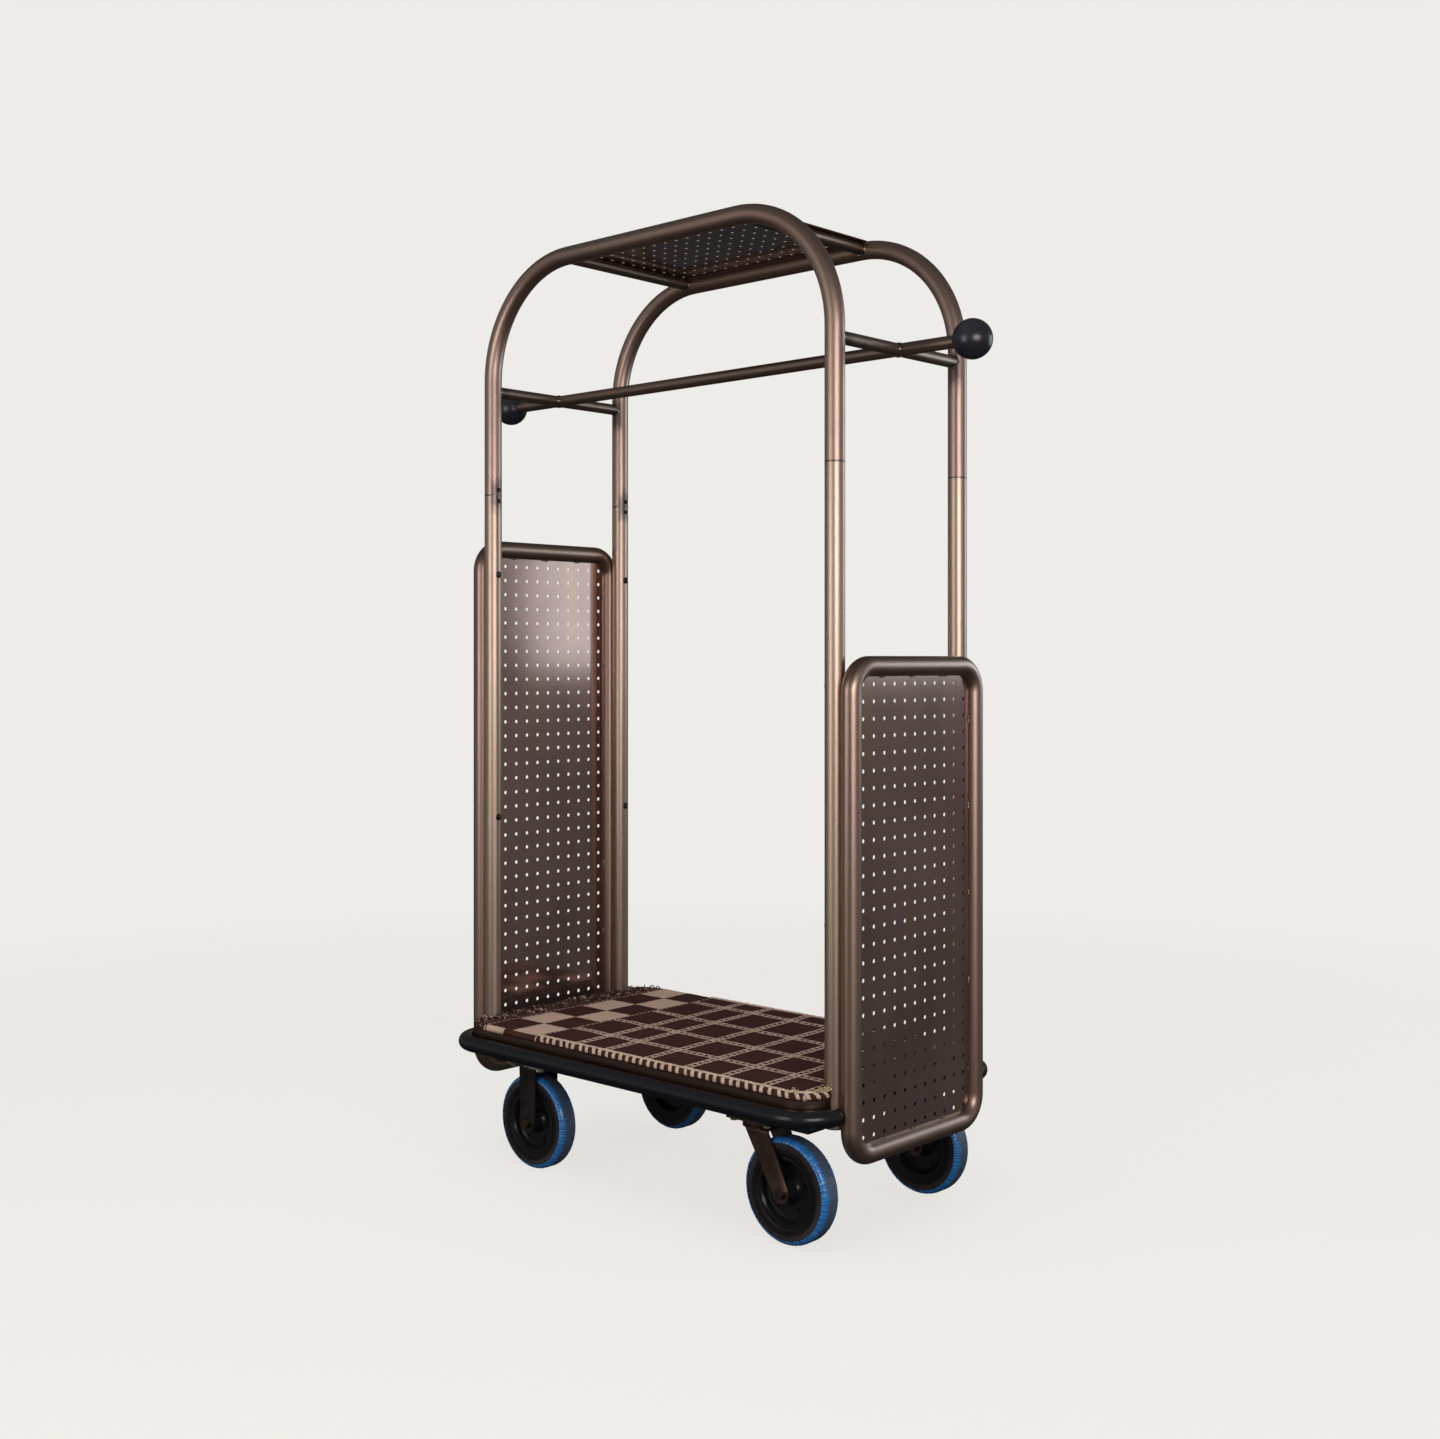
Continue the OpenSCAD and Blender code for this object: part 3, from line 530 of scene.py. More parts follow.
def make_carpet():
    """A pile carpet: a fine grid fitted to the outline, rolled down at its edge, on a flat back."""
    pitch, roll, top, bottom = 0.0022, 0.0075, CARPET_HIGH[2] + 0.0005, CARPET_LOW[2] + 0.0004
    nx, ny = round(2 * CARPET_HALF_X / pitch), round(2 * CARPET_HALF_Y / pitch)
    x, y = np.meshgrid(np.linspace(-CARPET_HALF_X, CARPET_HALF_X, nx + 1),
                       np.linspace(-CARPET_HALF_Y, CARPET_HALF_Y, ny + 1), indexing="ij")
    kept = carpet_edge((x[1:, 1:] + x[:-1, :-1]) / 2, (y[1:, 1:] + y[:-1, :-1]) / 2) < -0.3 * pitch
    touches = np.zeros_like(x, int)
    for di in (0, 1):
        for dj in (0, 1):
            touches[di:nx + di, dj:ny + dj] += kept
    rim = (touches > 0) & (touches < 4)
    for _ in range(3):
        outside = carpet_edge(x, y)
        slope_x = (carpet_edge(x + 1e-5, y) - outside) / 1e-5
        slope_y = (carpet_edge(x, y + 1e-5) - outside) / 1e-5
        x = np.where(rim, x - outside * slope_x, x)
        y = np.where(rim, y - outside * slope_y, y)
    depth = np.clip(-carpet_edge(x, y), 0, roll)
    rng = np.random.default_rng(5)
    z = top - roll + np.sqrt(np.maximum(roll ** 2 - (roll - depth) ** 2, 0))
    z += 0.0005 * lumps(x, y, 0.09, 1) + 0.0003 * lumps(x, y, 0.012, 2) + rng.uniform(-0.0002, 0.0002, x.shape)
    number = np.full(x.shape, -1)
    number[touches > 0] = np.arange((touches > 0).sum())
    used = touches > 0
    top_points = np.column_stack([x[used], y[used], z[used]])
    i, j = np.nonzero(kept)
    quads = np.column_stack([number[i, j], number[i + 1, j], number[i + 1, j + 1], number[i, j + 1]])
    follows = {}
    for edge in (quads[:, [0, 1]], quads[:, [1, 2]], quads[:, [2, 3]], quads[:, [3, 0]]):
        for a, b in edge.tolist():
            if (b, a) in follows:
                del follows[(b, a)]
            else:
                follows[(a, b)] = True
    after = {a: b for a, b in follows}
    start = next(iter(after))
    loop = [start]
    while after[loop[-1]] != start:
        loop.append(after[loop[-1]])
    shape = Shape()
    shape.add(top_points.tolist(), quads.tolist())
    base = len(shape.vertices)
    low = [(top_points[k][0], top_points[k][1], bottom) for k in loop]
    count = len(loop)
    skirt = [(loop[k], base + k, base + (k + 1) % count, loop[(k + 1) % count]) for k in range(count)]
    shape.vertices.extend(low)
    shape.faces.extend(skirt)
    shape.faces.append(tuple(base + k for k in range(count))[::-1])
    return shape


def edge_point(s, inset):
    """A point of the deck's outline, s metres from the middle of its right end, counter-clockwise."""
    hx, hy, r = CARPET_HALF_X - DECK_CORNER_R, CARPET_HALF_Y - DECK_CORNER_R, DECK_CORNER_R
    arc = r * math.pi / 2
    runs = ((hy, (hx + r, 0), (0, 1)), (arc, (hx, hy), 0), (2 * hx, (hx, hy + r), (-1, 0)),
            (arc, (-hx, hy), 90), (2 * hy, (-hx - r, hy), (0, -1)), (arc, (-hx, -hy), 180),
            (2 * hx, (-hx, -hy - r), (1, 0)), (arc, (hx, -hy), 270), (hy, (hx + r, -hy), (0, 1)))
    s %= 4 * (hx + hy) + 4 * arc
    for length, start, way in runs:
        if s <= length:
            break
        s -= length
    if isinstance(way, tuple):
        normal = (way[1], -way[0])
        point = (start[0] + way[0] * s, start[1] + way[1] * s)
    else:
        angle = math.radians(way) + s / r
        normal = (math.cos(angle), math.sin(angle))
        point = (start[0] + r * normal[0], start[1] + r * normal[1])
    return Vector((point[0] - inset * normal[0], point[1] - inset * normal[1])), Vector(normal)


def edge_length():
    return 4 * (CARPET_HALF_X + CARPET_HALF_Y - 2 * DECK_CORNER_R) + 2 * math.pi * DECK_CORNER_R


def stitched(point, clear):
    """Whether the edge stitching runs here: right of the checked strip and clear of the posts."""
    return point.x > PLAIN_FROM_X and all(math.dist(point, post) > NOTCH_R + clear for post in POSTS)


def make_stitching():
    """A thick wool line along the edge, and blanket stitches from it down over the rolled edge."""
    shape, rng = Shape(), random.Random(11)
    top = CARPET_HIGH[2]
    step, run, lines = 0.004, [], []
    for k in range(int(edge_length() / step) + 1):
        point, _ = edge_point(k * step + 0.14, 0.0105)
        if stitched(point, 0.004):
            lift = top + 0.0011 + rng.uniform(-0.0002, 0.0004)
            run.append((point.x + rng.uniform(-4e-4, 4e-4), point.y + rng.uniform(-4e-4, 4e-4), lift))
        elif run:
            lines.append(run)
            run = []
    for line in lines + [run]:
        if len(line) > 3:
            yarn(shape, line, 0.0026)
    for k in range(int(edge_length() / STITCH_PITCH)):
        slant = rng.uniform(0.003, 0.008)
        for thread in (-1, 0, 1):
            s = k * STITCH_PITCH + thread * 0.0024 + rng.uniform(-0.0006, 0.0006)
            if not stitched(edge_point(s, 0)[0], 0.006):
                continue
            profile = ((0.0095, 0.0014, 0.0), (0.0055, 0.0012, 0.3), (0.0012, -0.0012, 0.7), (-0.0012, -0.0050, 1.0),
                       (-0.0010, -0.0078 - rng.uniform(0, 0.0012), 1.1))
            path = [(*edge_point(s + slant * lean, inset)[0], top + rise) for inset, rise, lean in profile]
            yarn(shape, path, 0.0016 + rng.uniform(-0.0002, 0.0002), sides=7)
    return shape


def make_fringe():
    """Worn wool loops on the left end of the carpet, and a few round each post."""
    shape, rng = Shape(), random.Random(23)
    top = CARPET_HIGH[2]

    def loop_at(x, y, size, radius):
        turn = rng.uniform(0, 2 * math.pi)
        dx, dy = math.cos(turn) * size / 2, math.sin(turn) * size / 2
        rise = rng.uniform(0.0022, 0.0048)
        bend = rng.uniform(-0.4, 0.4)
        path = [(x - dx, y - dy, top - 0.0008), (x - dx / 2 + dy * bend, y - dy / 2 - dx * bend, top + rise),
                (x + dx / 2 - dy * bend, y + dy / 2 + dx * bend, top + rise * 0.9), (x + dx, y + dy, top - 0.0008)]
        if all(carpet_edge(np.array(px), np.array(py)) < -0.002 for px, py, _ in path):
            yarn(shape, path, radius, step=0.002, sides=6)

    for _ in range(170):
        loop_at(rng.uniform(-CARPET_HALF_X, WORN_TO_X), rng.uniform(-CARPET_HALF_Y, CARPET_HALF_Y),
                rng.uniform(0.006, 0.015), rng.uniform(0.0009, 0.0015))
    for px, py in POSTS:
        for _ in range(26):
            angle, reach = rng.uniform(0, 2 * math.pi), NOTCH_R + rng.uniform(0.004, 0.014)
            loop_at(px + reach * math.cos(angle), py + reach * math.sin(angle), 0.012, 0.0012)
    return shape


def make_tufts():
    """Frayed gold ends of the binding yarn, where the stitching stops at the right-hand posts."""
    shape, rng = Shape(), random.Random(31)
    top = CARPET_HIGH[2]
    feet = ((0.474, 0.236, -0.6, 12), (0.483, 0.222, 0.5, 14), (0.449, 0.262, -1.6, 9))
    for sy in (-1, 1):
        for foot_x, foot_y, aim, count in feet:
            for _ in range(count):
                angle = aim + rng.uniform(-0.9, 0.9)
                reach, rise = rng.uniform(0.007, 0.017), rng.uniform(0.001, 0.011)
                x, y = foot_x + rng.uniform(-0.004, 0.004), foot_y + rng.uniform(-0.005, 0.005)
                path = [(x, sy * y, top), (x + 0.5 * reach * math.cos(angle),
                                           sy * (y - 0.5 * reach * math.sin(angle)), top + 0.7 * rise + 0.001),
                        (min(x + reach * math.cos(angle), 0.492), sy * (y - reach * math.sin(angle)), top + rise)]
                yarn(shape, path, 0.0008, step=0.0025, sides=5)
    return shape


def carpet_wool():
    """Dark brown knit with tan squares on the left, tan chain bands on the rest, and loose fibres."""
    g = Graph("carpet_wool")
    wobble_x = g.mul(g.sub(g.noise(110.0, 2.0), 0.5), 0.0075)
    wobble_y = g.mul(g.sub(g.noise(125.0, 2.0, 0.5, g.vector(g.y, g.x, 3.1)), 0.5), 0.0075)
    x, y = g.add(g.x, wobble_x), g.add(g.y, wobble_y)
    skew_x = g.add(x, g.mul(y, 0.035))

    def nearest(value, centres):
        distances = [g.absolute(g.sub(value, centre)) for centre in centres]
        best = distances[0]
        for distance in distances[1:]:
            best = g.math("MINIMUM", best, distance)
        return best

    def chain(across, along):
        """Two thin lines with links tied between them."""
        line = g.step(g.absolute(g.sub(across, 0.0072)), 0.0030, 0.0020)
        tie = g.step(g.absolute(g.sub(g.math("FRACT", g.mul(along, 1 / 0.0165)), 0.5)), 0.20, 0.13)
        return g.math("MAXIMUM", line, g.mul(tie, g.step(across, 0.0085, 0.0070)))

    bands = g.math("MAXIMUM", chain(nearest(y, BANDS_Y), x),
                   chain(nearest(skew_x, BANDS_X), y))
    plain = g.step(x, PLAIN_FROM_X + 0.006, PLAIN_FROM_X + 0.008)
    inner = g.step(g.absolute(g.y), CARPET_HALF_Y - 0.011, CARPET_HALF_Y - 0.013)
    pattern = g.mul(g.mul(bands, plain), inner)
    row = g.math("FLOOR", g.mul(g.add(y, 0.2735), 1 / SQUARE_Y))
    column = g.math("FLOOR", g.mul(g.sub(x, SQUARES_FROM_X), 1 / SQUARE_X))
    tan_square = g.math("MODULO", g.math("ABSOLUTE", g.add(row, column)), 2.0)
    strip = g.mul(g.step(x, SQUARES_FROM_X - 0.0005, SQUARES_FROM_X + 0.0005),
                  g.step(x, PLAIN_FROM_X + 0.0005, PLAIN_FROM_X - 0.0005))
    squares = g.mul(strip, g.step(tan_square, 0.4, 0.6))
    front_patch = g.mul(g.mul(g.step(x, -0.412, -0.410), g.step(x, -0.352, -0.356)), g.step(g.y, -0.267, -0.269))
    squares = g.mul(squares, g.step(g.absolute(g.y), CARPET_HALF_Y - 0.006, CARPET_HALF_Y - 0.008))
    dashes = g.step(g.absolute(g.sub(g.math("FRACT", g.mul(y, 1 / 0.0135)), 0.5)), 0.36, 0.30)
    border = g.mul(g.step(nearest(x, (-0.4165, PLAIN_FROM_X + 0.003)), 0.0024, 0.0016), dashes)
    worn = g.mul(g.step(g.noise(190.0, 3.0), 0.60, 0.66), g.step(g.x, -0.421, -0.424))
    tan = pattern
    for mask in (squares, front_patch, border, worn):
        tan = g.math("MAXIMUM", tan, mask)
    fibre = g.noise(1300.0, 3.0, 0.7)
    shade = g.noise(26.0, 4.0, 0.6)
    dark = g.mix(g.add(g.mul(fibre, 0.6), g.mul(shade, 0.4)), (0.018, 0.0075, 0.0062), (0.068, 0.028, 0.023))
    light = g.mix(g.add(g.mul(fibre, 0.6), g.mul(shade, 0.4)), (0.24, 0.165, 0.13), (0.56, 0.40, 0.32))
    knit = g.mul(g.math("SINE", g.mul(g.x, 2 * math.pi / 0.0034)), g.math("SINE", g.mul(g.y, 2 * math.pi / 0.0026)))
    height = g.add(g.add(g.mul(tan, 0.5), g.mul(knit, 0.22)), g.mul(fibre, 0.5))
    return g.finish(g.mix(tan, dark, light), g.scaled(fibre, 0.8, 1.0), g.bump(height, 0.0011, 0.8),
                    specular_ior_level=0.04)


def yarn_wool(name, dark, light, lightens=(0.2, 0.8)):
    """Fuzzy wool; lightens is the range of its clouds over which it goes from dark to light."""
    g = Graph(name)
    fibre = g.noise(1500.0, 3.0, 0.7)
    shade = g.noise(70.0, 3.0, 0.6)
    color = g.mix(g.step(g.add(g.mul(fibre, 0.5), g.mul(shade, 0.5)), *lightens), dark, light)
    return g.finish(color, 0.9, g.bump(fibre, 0.0004, 0.8), specular_ior_level=0.05)


def lay_carpet():
    tan_yarn = yarn_wool("tan_yarn", (0.26, 0.185, 0.145), (0.60, 0.45, 0.36))
    worn_yarn = yarn_wool("worn_yarn", (0.018, 0.008, 0.007), (0.50, 0.37, 0.29), (0.48, 0.62))
    gold_yarn = yarn_wool("gold_yarn", (0.30, 0.21, 0.10), (0.70, 0.55, 0.34))
    carpet = make_carpet().piece("woven_carpet", carpet_wool(), "cart", "carpet")
    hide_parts("carpet")
    extras = [make_stitching().piece("carpet_edge_stitching", tan_yarn, "cart", "carpet"),
              make_fringe().piece("carpet_worn_loops", worn_yarn, "cart", "carpet"),
              make_tufts().piece("carpet_frayed_ends", gold_yarn, "cart", "carpet")]


# ---------- Wheels ----------
WHEEL_R = span("tread_wrap_front_left", 2)[1] - middle("tread_wrap_front_left", 2)
TREAD_R = span("tyre_front_left", 2)[1] - middle("tyre_front_left", 2)
TYRE_HALF_W = span("tyre_front_left", 1)[1] - middle("tyre_front_left", 1)
SHOULDER_R = 0.012
SHOULDER = (TREAD_R - SHOULDER_R, TYRE_HALF_W - SHOULDER_R)
FILM_FROM = 14


def shoulder_arc(radius, from_degrees, to_degrees, count):
    """(radius, y) points round the tyre's shoulder, measured from the side towards the tread."""
    angles = np.radians(np.linspace(from_degrees, to_degrees, count))
    return [(SHOULDER[0] + radius * math.sin(a), SHOULDER[1] + radius * math.cos(a)) for a in angles]


def tyre_profile():
    """One closed section: bead, side wall with a raised ring, ribbed shoulder, and a grooved tread."""
    wall = TYRE_HALF_W - 0.0001
    side = [(0.0634, 0.0150), (0.0669, 0.0164), (0.0669, wall - 0.0027), (0.0676, wall - 0.0014),
            (0.0690, wall - 0.0013), (0.0702, wall - 0.0007), (0.0730, wall - 0.0001), (0.0745, wall - 0.0006),
            (0.0757, wall - 0.0006), (0.0767, wall)]
    side += [(r, wall) for r in np.arange(0.078, SHOULDER[0] - 0.0005, 0.0014)]
    side += shoulder_arc(SHOULDER_R, 0, 86, 11)
    tread = []
    for groove in (0.0065, 0.0):
        tread += [(TREAD_R, groove + 0.0018), (TREAD_R - 0.0016, groove + 0.0010), (TREAD_R - 0.0016, groove)]
    half = side + tread
    return half + [(r, -y) for r, y in reversed(half[:-1])]


def make_tyre():
    """Two bands of fine ribs run round the shoulders."""
    shape, ribs = Shape(), 116

    def warp(angle, r, y):
        band = min(max((r - 0.0775) / 0.002, 0), 1) * min(max((TREAD_R - 0.0015 - r) / 0.004, 0), 1)
        rib = 0.5 + 0.5 * math.tanh(2.2 * math.cos(ribs * angle))
        return r - 0.0005 * band * (1 - rib), y - math.copysign(0.0010, y) * band * (1 - rib)

    ring(shape, tyre_profile(), ribs * 6, warp)
    return shape


def make_film(seed):
    """Stretch film round the tread, gathered into fine pleats where it ends on each side wall."""
    rng = np.random.default_rng(seed)
    pleats = [(int(rng.integers(40, 150)), rng.uniform(0, 6.28), rng.uniform(0.4, 1)) for _ in range(9)]
    creases = [(int(rng.integers(12, 60)), rng.uniform(0, 6.28), rng.uniform(-220, 220)) for _ in range(7)]
    arc = shoulder_arc(SHOULDER_R + 0.0003, FILM_FROM, 86, 16)
    outer = arc + [(TREAD_R + 0.0003, y) for y in (0.0095, 0.0075, 0.0045, 0.0015)]
    outer = outer + [(r, -y) for r, y in reversed(outer)]
    count = len(outer)

    def gathered(angle):
        return sum(size * math.sin(turns * angle + phase) for turns, phase, size in pleats) / 3

    def creased(angle, y):
        return sum(math.sin(turns * angle + phase + lean * y) for turns, phase, lean in creases) / 4

    def outward(r, y):
        """How much of a step off the tyre goes along the radius, and how much along y."""
        flat = min(max((r - SHOULDER[0]) / SHOULDER_R, 0), 1)
        return flat, math.copysign(math.sqrt(1 - min(flat, 0.999) ** 2), y)

    skin, segments = 0.00022, 720
    over, under = [], []
    for i in range(segments):
        angle = 2 * math.pi * i / segments
        gather, hem = gathered(angle), 0.0010 * gathered(angle + 1.7)
        for k, (r, y) in enumerate(outer):
            edge = 1 - min(k, count - 1 - k) / 12
            lift = 0.00055 * max(edge, 0.12) * (gather + 1) + 0.00018 * creased(angle, y)
            lift = min(max(lift, 0.0), 0.0011)
            along_r, along_y = outward(r, y)
            r_out = min(r - (hem if edge > 0.9 else 0) + lift * along_r, WHEEL_R - 0.00003)
            y_out = y + lift * along_y
            over.append((r_out * math.cos(angle), y_out, r_out * math.sin(angle)))
            along_r, along_y = outward(r_out, y_out)
            r_in, y_in = r_out - skin * along_r, y_out - skin * along_y
            under.append((r_in * math.cos(angle), y_in, r_in * math.sin(angle)))
    shape, faces = Shape(), []
    total = segments * count
    for i in range(segments):
        a, b = i * count, (i + 1) % segments * count
        for k in range(count - 1):
            faces.append((a + k, a + k + 1, b + k + 1, b + k))
            faces.append((total + a + k, total + b + k, total + b + k + 1, total + a + k + 1))
        faces.append((a, b, total + b, total + a))
        faces.append((a + count - 1, total + a + count - 1, total + b + count - 1, b + count - 1))
    shape.add(over + under, faces)
    return shape


def tyre_rubber():
    """Black rubber, dusty brown on the raised ribs."""
    g = Graph("tyre_rubber")
    dust = g.noise(120.0, 5.0, 0.7)
    radius = g.math("SQRT", g.add(g.mul(g.x, g.x), g.mul(g.z, g.z)))
    ribs = g.mul(g.step(radius, 0.078, 0.083), g.step(g.absolute(g.y), TYRE_HALF_W - 0.0013, TYRE_HALF_W - 0.0004))
    color = g.mix(g.mul(g.step(dust, 0.35, 0.75), 0.6), (0.004, 0.0035, 0.0045), (0.011, 0.0085, 0.0095))
    color = g.mix(g.mul(ribs, g.scaled(dust, 0.35, 1.0)), color, (0.050, 0.036, 0.034))
    return g.finish(color, g.scaled(dust, 0.36, 0.6), g.bump(g.noise(900.0, 3.0), 0.0001, 0.4),
                    specular_ior_level=0.25)


def stretch_film():
    """Blue film: bright where it is gathered on the shoulder, thin and grey over the tread."""
    g = Graph("blue_stretch_film")
    angle = g.math("ARCTAN2", g.z, g.x)
    streak = g.noise(1.0, 4.0, 0.65, g.vector(g.mul(angle, 14.0), g.mul(g.y, 55.0), 0.0))
    fine = g.noise(1.0, 3.0, 0.6, g.vector(g.mul(angle, 60.0), g.mul(g.y, 25.0), 4.0))
    patch = g.noise(1.0, 3.0, 0.6, g.vector(g.mul(angle, 5.0), g.mul(g.y, 20.0), 9.0))
    edge = g.add(g.absolute(g.y), g.add(g.mul(g.sub(streak, 0.5), 0.012), g.mul(g.sub(patch, 0.5), 0.016)))
    over_tread = g.step(edge, TYRE_HALF_W - 0.0070, TYRE_HALF_W - 0.0135)
    bright = g.mix(g.step(fine, 0.35, 0.7), (0.008, 0.085, 0.29), (0.035, 0.23, 0.56))
    thin = g.mix(g.step(streak, 0.40, 0.62), (0.075, 0.073, 0.092), (0.045, 0.10, 0.185))
    height = g.add(g.mul(fine, 0.6), g.mul(streak, 0.6))
    return g.finish(g.mix(over_tread, bright, thin), g.scaled(fine, 0.18, 0.36), g.bump(height, 0.0009, 0.7),
                    coat_weight=0.4, coat_roughness=0.12)


def dress_wheels():
    rubber, film = tyre_rubber(), stretch_film()
    for number, wheel in enumerate(CORNERS):
        low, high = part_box(f"tyre_{wheel}")
        centre = (low + high) / 2
        tyre = make_tyre().piece(f"ribbed_tyre_{wheel}", rubber, f"wheel_{wheel}", "tyre", centre)
        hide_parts(f"tyre_{wheel}")
        wrap = make_film(40 + number).piece(f"stretch_film_{wheel}", film, f"wheel_{wheel}", "blue_film", centre)
        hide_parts(f"tread_wrap_{wheel}")


# ---------- Welds ----------
def weld(shape, path, radius, closed=True, seed=0):
    """A rippled bead along a path."""
    rng = random.Random(seed)
    phase = rng.uniform(0, 6)
    ripple = radius * 1.5
    sweep(shape, path, lambda length, angle: radius * (1 + 0.13 * math.cos(2 * math.pi * length / ripple + phase)),
          closed=closed, sides=8)


def saddle(centre, out, bar_r, tube_r, tube_axis, count=64):
    """The closed line where a bar running along Y meets the near side of a tube."""
    path = []
    for k in range(count):
        a = 2 * math.pi * k / count
        x, z = bar_r * math.cos(a), bar_r * math.sin(a)
        off_axis = x if tube_axis == "z" else z
        path.append((centre[0] + x, centre[1] + out * math.sqrt(tube_r ** 2 - off_axis ** 2), centre[2] + z))
    return path


def make_welds():
    shape = Shape()
    bead = 0.0021
    for sx in (-1, 1):
        for sy in (-1, 1):
            weld(shape, saddle((sx * POST_X, sy * POST_Y, RAIL_Z), -sy, RAIL_R, TUBE_R, "z"), bead)
            weld(shape, saddle((sx * POST_X, 0, RAIL_Z), sy, RAIL_R, RAIL_R * 1.0005, "x"), bead)
            roof_r = span("roof_crossbars", 2)[1] - ARCH_Z
            roof_x = sx * (span("roof_crossbars", 0)[1] - roof_r)
            weld(shape, saddle((roof_x, sy * POST_Y, ARCH_Z), -sy, roof_r, TUBE_R, "x"), bead)
    return shape


def make_panel_welds():
    """Short welds, and ragged spots, that hold each perforated sheet in its frame."""
    shape, rng = Shape(), random.Random(7)
    for side, sx in (("left", -1), ("right", 1)):
        top, bottom = FRAME_TOP_Z[side] - TUBE_R, FRAME_BOTTOM_Z + TUBE_R
        inner_y = POST_Y - TUBE_R
        spots = [(False, y, z) for y in (-0.105, -0.01, 0.09) for z in (top, bottom)]
        rows = round((top - bottom) / 0.17)
        spots += [(True, sy * inner_y, bottom + (k + 0.5) * (top - bottom) / rows)
                  for k in range(rows) for sy in (-1, 1)]
        for upright, y, z in spots:
            for face in (-1, 1):
                half = rng.uniform(0.005, 0.010)
                x = sx * (FRAME_X + face * 0.0016)
                line = [(x, y if upright else y + t * half, z + t * half if upright else z)
                        for t in (-1, -0.5, 0, 0.5, 1)]
                line = [(px, py + rng.uniform(-5e-4, 5e-4), pz + rng.uniform(-5e-4, 5e-4)) for px, py, pz in line]
                weld(shape, smooth_path(line, 0.0008), 0.0019, closed=False, seed=rng.random())
    return shape


def weld_metal():
    g = Graph("weld_metal")
    cloud = g.noise(240.0, 4.0, 0.7)
    color = g.mix(g.step(cloud, 0.38, 0.6), (0.05, 0.038, 0.036), (0.50, 0.42, 0.36))
    return g.finish(color, g.scaled(cloud, 0.2, 0.45), g.bump(cloud, 0.0004, 0.6), metallic=1.0)


def add_welds():
    material = weld_metal()
    make_welds().piece("tube_welds", material, "cart", "bronze_tube")
    make_panel_welds().piece("sheet_welds", material, "cart", "bronze_tube")


# ---------- Stage ----------
BACKDROP = (0.855, 0.839, 0.807)


def make_stage():
    """A pale round floor that fades into the backdrop."""
    radius, rim_points = 12.0, 96
    turns = [2 * math.pi * i / rim_points for i in range(rim_points)]
    mesh = bpy.data.meshes.new("floor")
    mesh.from_pydata([(radius * math.cos(a), radius * math.sin(a), 0) for a in turns], [], [range(rim_points)])
    floor = bpy.data.objects.new("floor", mesh)
    bpy.context.scene.collection.objects.link(floor)
    g = Graph("floor")
    g.finish((0.12, 0.118, 0.114), 0.9, specular_ior_level=0.05)
    light_path = g.tree.nodes.new("ShaderNodeLightPath")
    glow = g.tree.nodes.new("ShaderNodeEmission")
    glow.inputs["Color"].default_value = (*BACKDROP, 1)
    g.plug(glow.inputs["Strength"], g.scaled(light_path.outputs["Is Camera Ray"], 0.03, 0.86))
    both = g.tree.nodes.new("ShaderNodeAddShader")
    g.plug(both.inputs[0], g.shader.outputs[0])
    g.plug(both.inputs[1], glow.outputs[0])
    clear = g.tree.nodes.new("ShaderNodeBsdfTransparent")
    fade = g.tree.nodes.new("ShaderNodeMixShader")
    distance = g.math("SQRT", g.add(g.mul(g.x, g.x), g.mul(g.y, g.y)))
    g.plug(fade.inputs[0], g.step(distance, 1.2, 4.5))
    g.plug(fade.inputs[1], both.outputs[0])
    g.plug(fade.inputs[2], clear.outputs[0])
    g.plug(g.output.inputs["Surface"], fade.outputs[0])
    mesh.materials.append(g.material)
    floor.visible_glossy = False


def area_light(name, place, target, size, power, color=(1.0, 1.0, 1.0), shines=True):
    """A soft box; one that doesn't shine lights rough surfaces but isn't mirrored in the metal."""
    data = bpy.data.lights.new(name, "AREA")
    data.shape, data.size, data.size_y = "RECTANGLE", *size
    data.energy, data.color = power, color
    light = bpy.data.objects.new(name, data)
    light.location = place
    light.rotation_euler = (Vector(target) - Vector(place)).to_track_quat("-Z", "Y").to_euler()
    light.visible_glossy = shines
    bpy.context.scene.collection.objects.link(light)


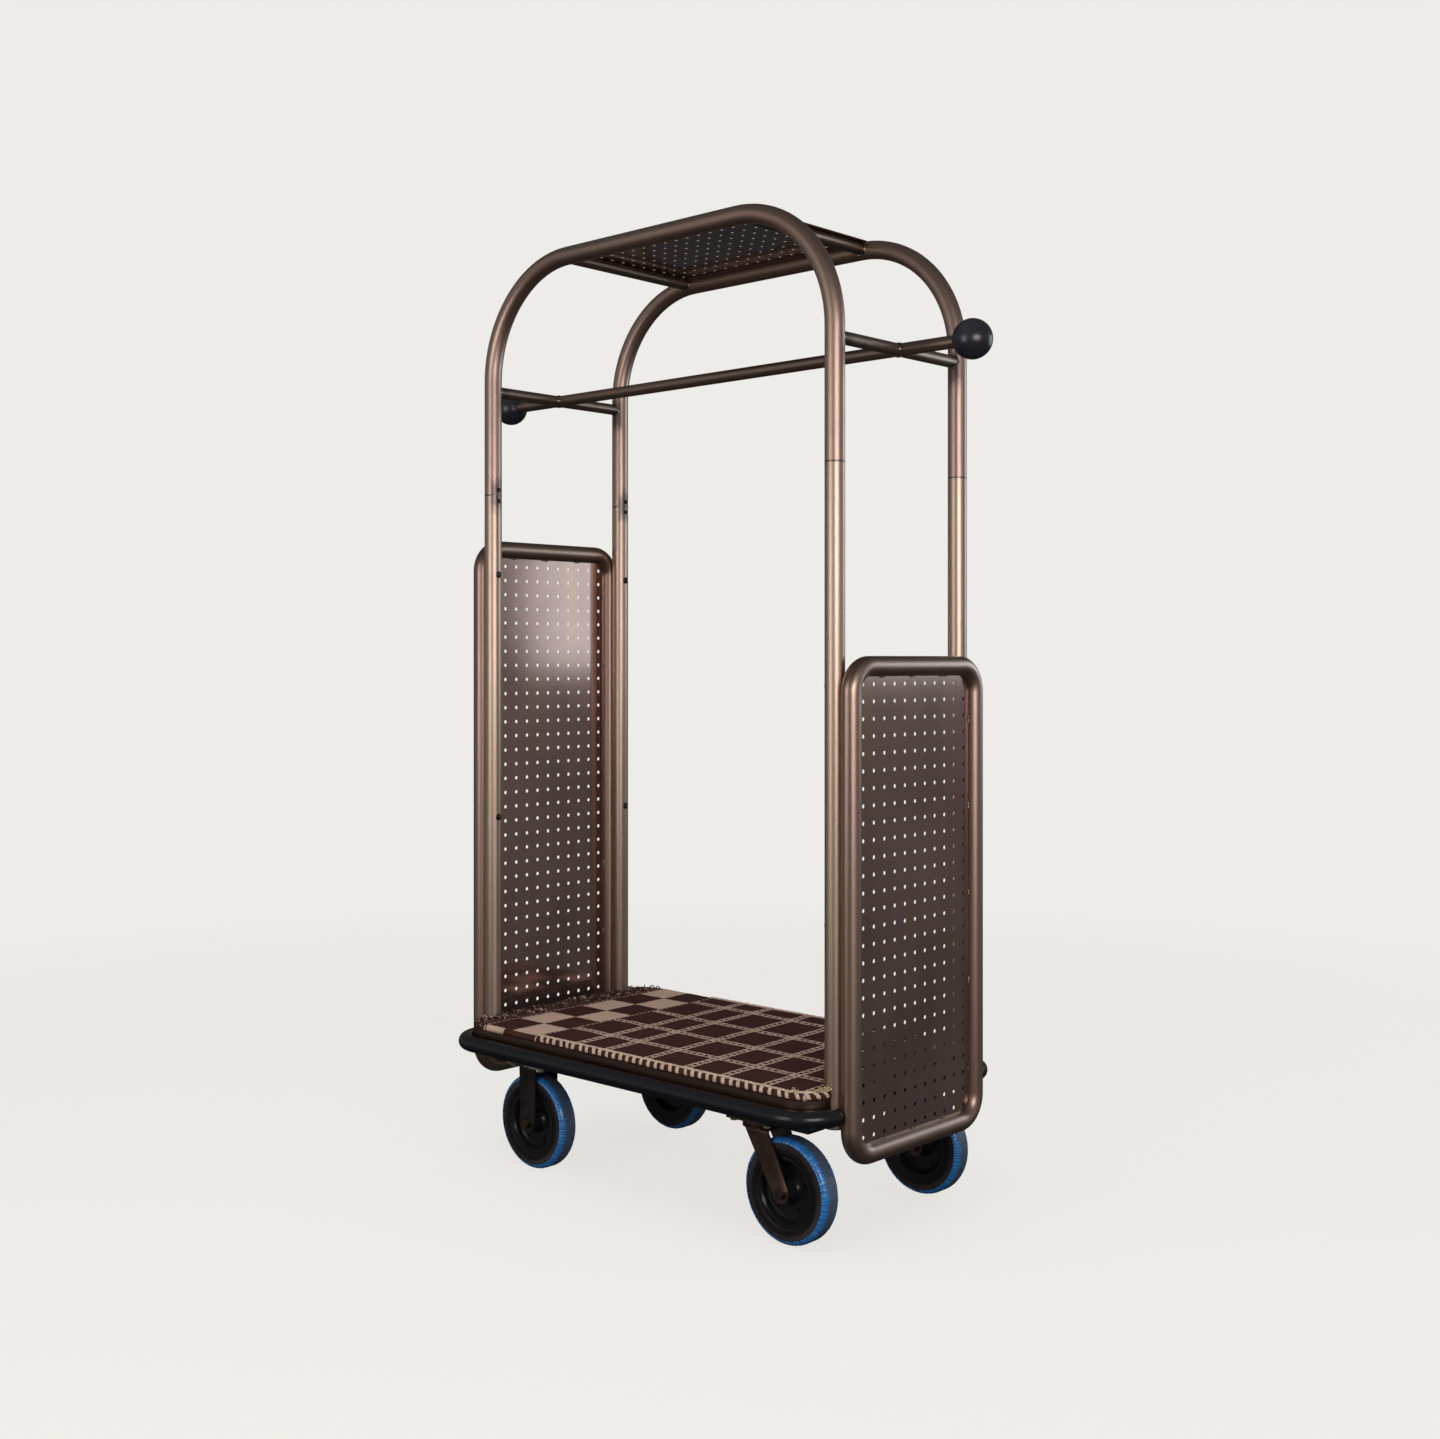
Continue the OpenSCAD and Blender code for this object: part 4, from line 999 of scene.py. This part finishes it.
def make_world():
    """An even pale backdrop, and for mirroring a studio that is brighter in front of the cart than behind it."""
    world = bpy.data.worlds.new("studio")
    world.use_nodes = True
    tree = world.node_tree
    place = tree.nodes.new("ShaderNodeTexCoord")
    split = tree.nodes.new("ShaderNodeSeparateXYZ")
    tree.links.new(place.outputs["Generated"], split.inputs[0])
    half = tree.nodes.new("ShaderNodeMapRange")
    half.inputs["From Min"].default_value = -1.0
    tree.links.new(split.outputs[2], half.inputs["Value"])
    ramp = tree.nodes.new("ShaderNodeValToRGB")
    tree.links.new(half.outputs[0], ramp.inputs[0])
    first, last = ramp.color_ramp.elements
    first.color, last.color = (0.04, 0.035, 0.034, 1), (0.10, 0.097, 0.097, 1)
    for height, gray in ((0.28, 0.035), (0.42, 0.13), (0.50, 0.25), (0.56, 0.32), (0.65, 0.22), (0.78, 0.12)):
        ramp.color_ramp.elements.new(height).color = (gray, gray * 0.97, gray * 0.97, 1)
    front = tree.nodes.new("ShaderNodeVectorMath")
    front.operation = "DOT_PRODUCT"
    tree.links.new(place.outputs["Generated"], front.inputs[0])
    front.inputs[1].default_value = (0.68, -0.73, 0.0)
    level = tree.nodes.new("ShaderNodeMapRange")
    level.interpolation_type = "SMOOTHSTEP"
    for name, value in (("From Min", -1.0), ("From Max", 0.0), ("To Min", 0.35), ("To Max", 1.0)):
        level.inputs[name].default_value = value
    tree.links.new(front.outputs["Value"], level.inputs["Value"])
    studio = tree.nodes.new("ShaderNodeVectorMath")
    studio.operation = "SCALE"
    tree.links.new(ramp.outputs[0], studio.inputs[0])
    tree.links.new(level.outputs["Result"], studio.inputs["Scale"])
    light_path = tree.nodes.new("ShaderNodeLightPath")
    color = studio.outputs[0]
    for ray, seen in (("Is Diffuse Ray", (0.50, 0.485, 0.475)), ("Is Camera Ray", BACKDROP)):
        mix = tree.nodes.new("ShaderNodeMix")
        mix.data_type = "RGBA"
        tree.links.new(light_path.outputs[ray], mix.inputs[0])
        tree.links.new(color, mix.inputs[6])
        mix.inputs[7].default_value = (*seen, 1)
        color = mix.outputs[2]
    tree.links.new(color, tree.nodes["Background"].inputs["Color"])
    bpy.context.scene.world = world


def make_light():
    bpy.context.scene.view_settings.view_transform = "Standard"
    make_world()
    area_light("left_box", (-0.1, -3.0, 1.4), (0, 0, 1.35), (1.4, 1.5), 19, (1.0, 0.96, 0.91))
    area_light("right_box", (3.3, -1.7, 1.6), (0, 0, 1.55), (1.9, 1.2), 50, (1.0, 0.97, 0.94))
    area_light("rear_box", (2.15, 3.8, 1.89), (0, 0, 1.89), (2.4, 1.7), 29, (0.76, 0.92, 1.0))
    area_light("top_fill", (0.4, -1.2, 3.9), (0, 0, 0.3), (2.6, 2.0), 45, shines=False)
    area_light("front_fill", (1.6, -3.4, 2.2), (0, 0, 0.6), (2.4, 1.6), 18, shines=False)


dress_tubes()
dress_metal_and_plastic()
lay_carpet()
dress_wheels()
add_welds()
make_stage()
make_light()
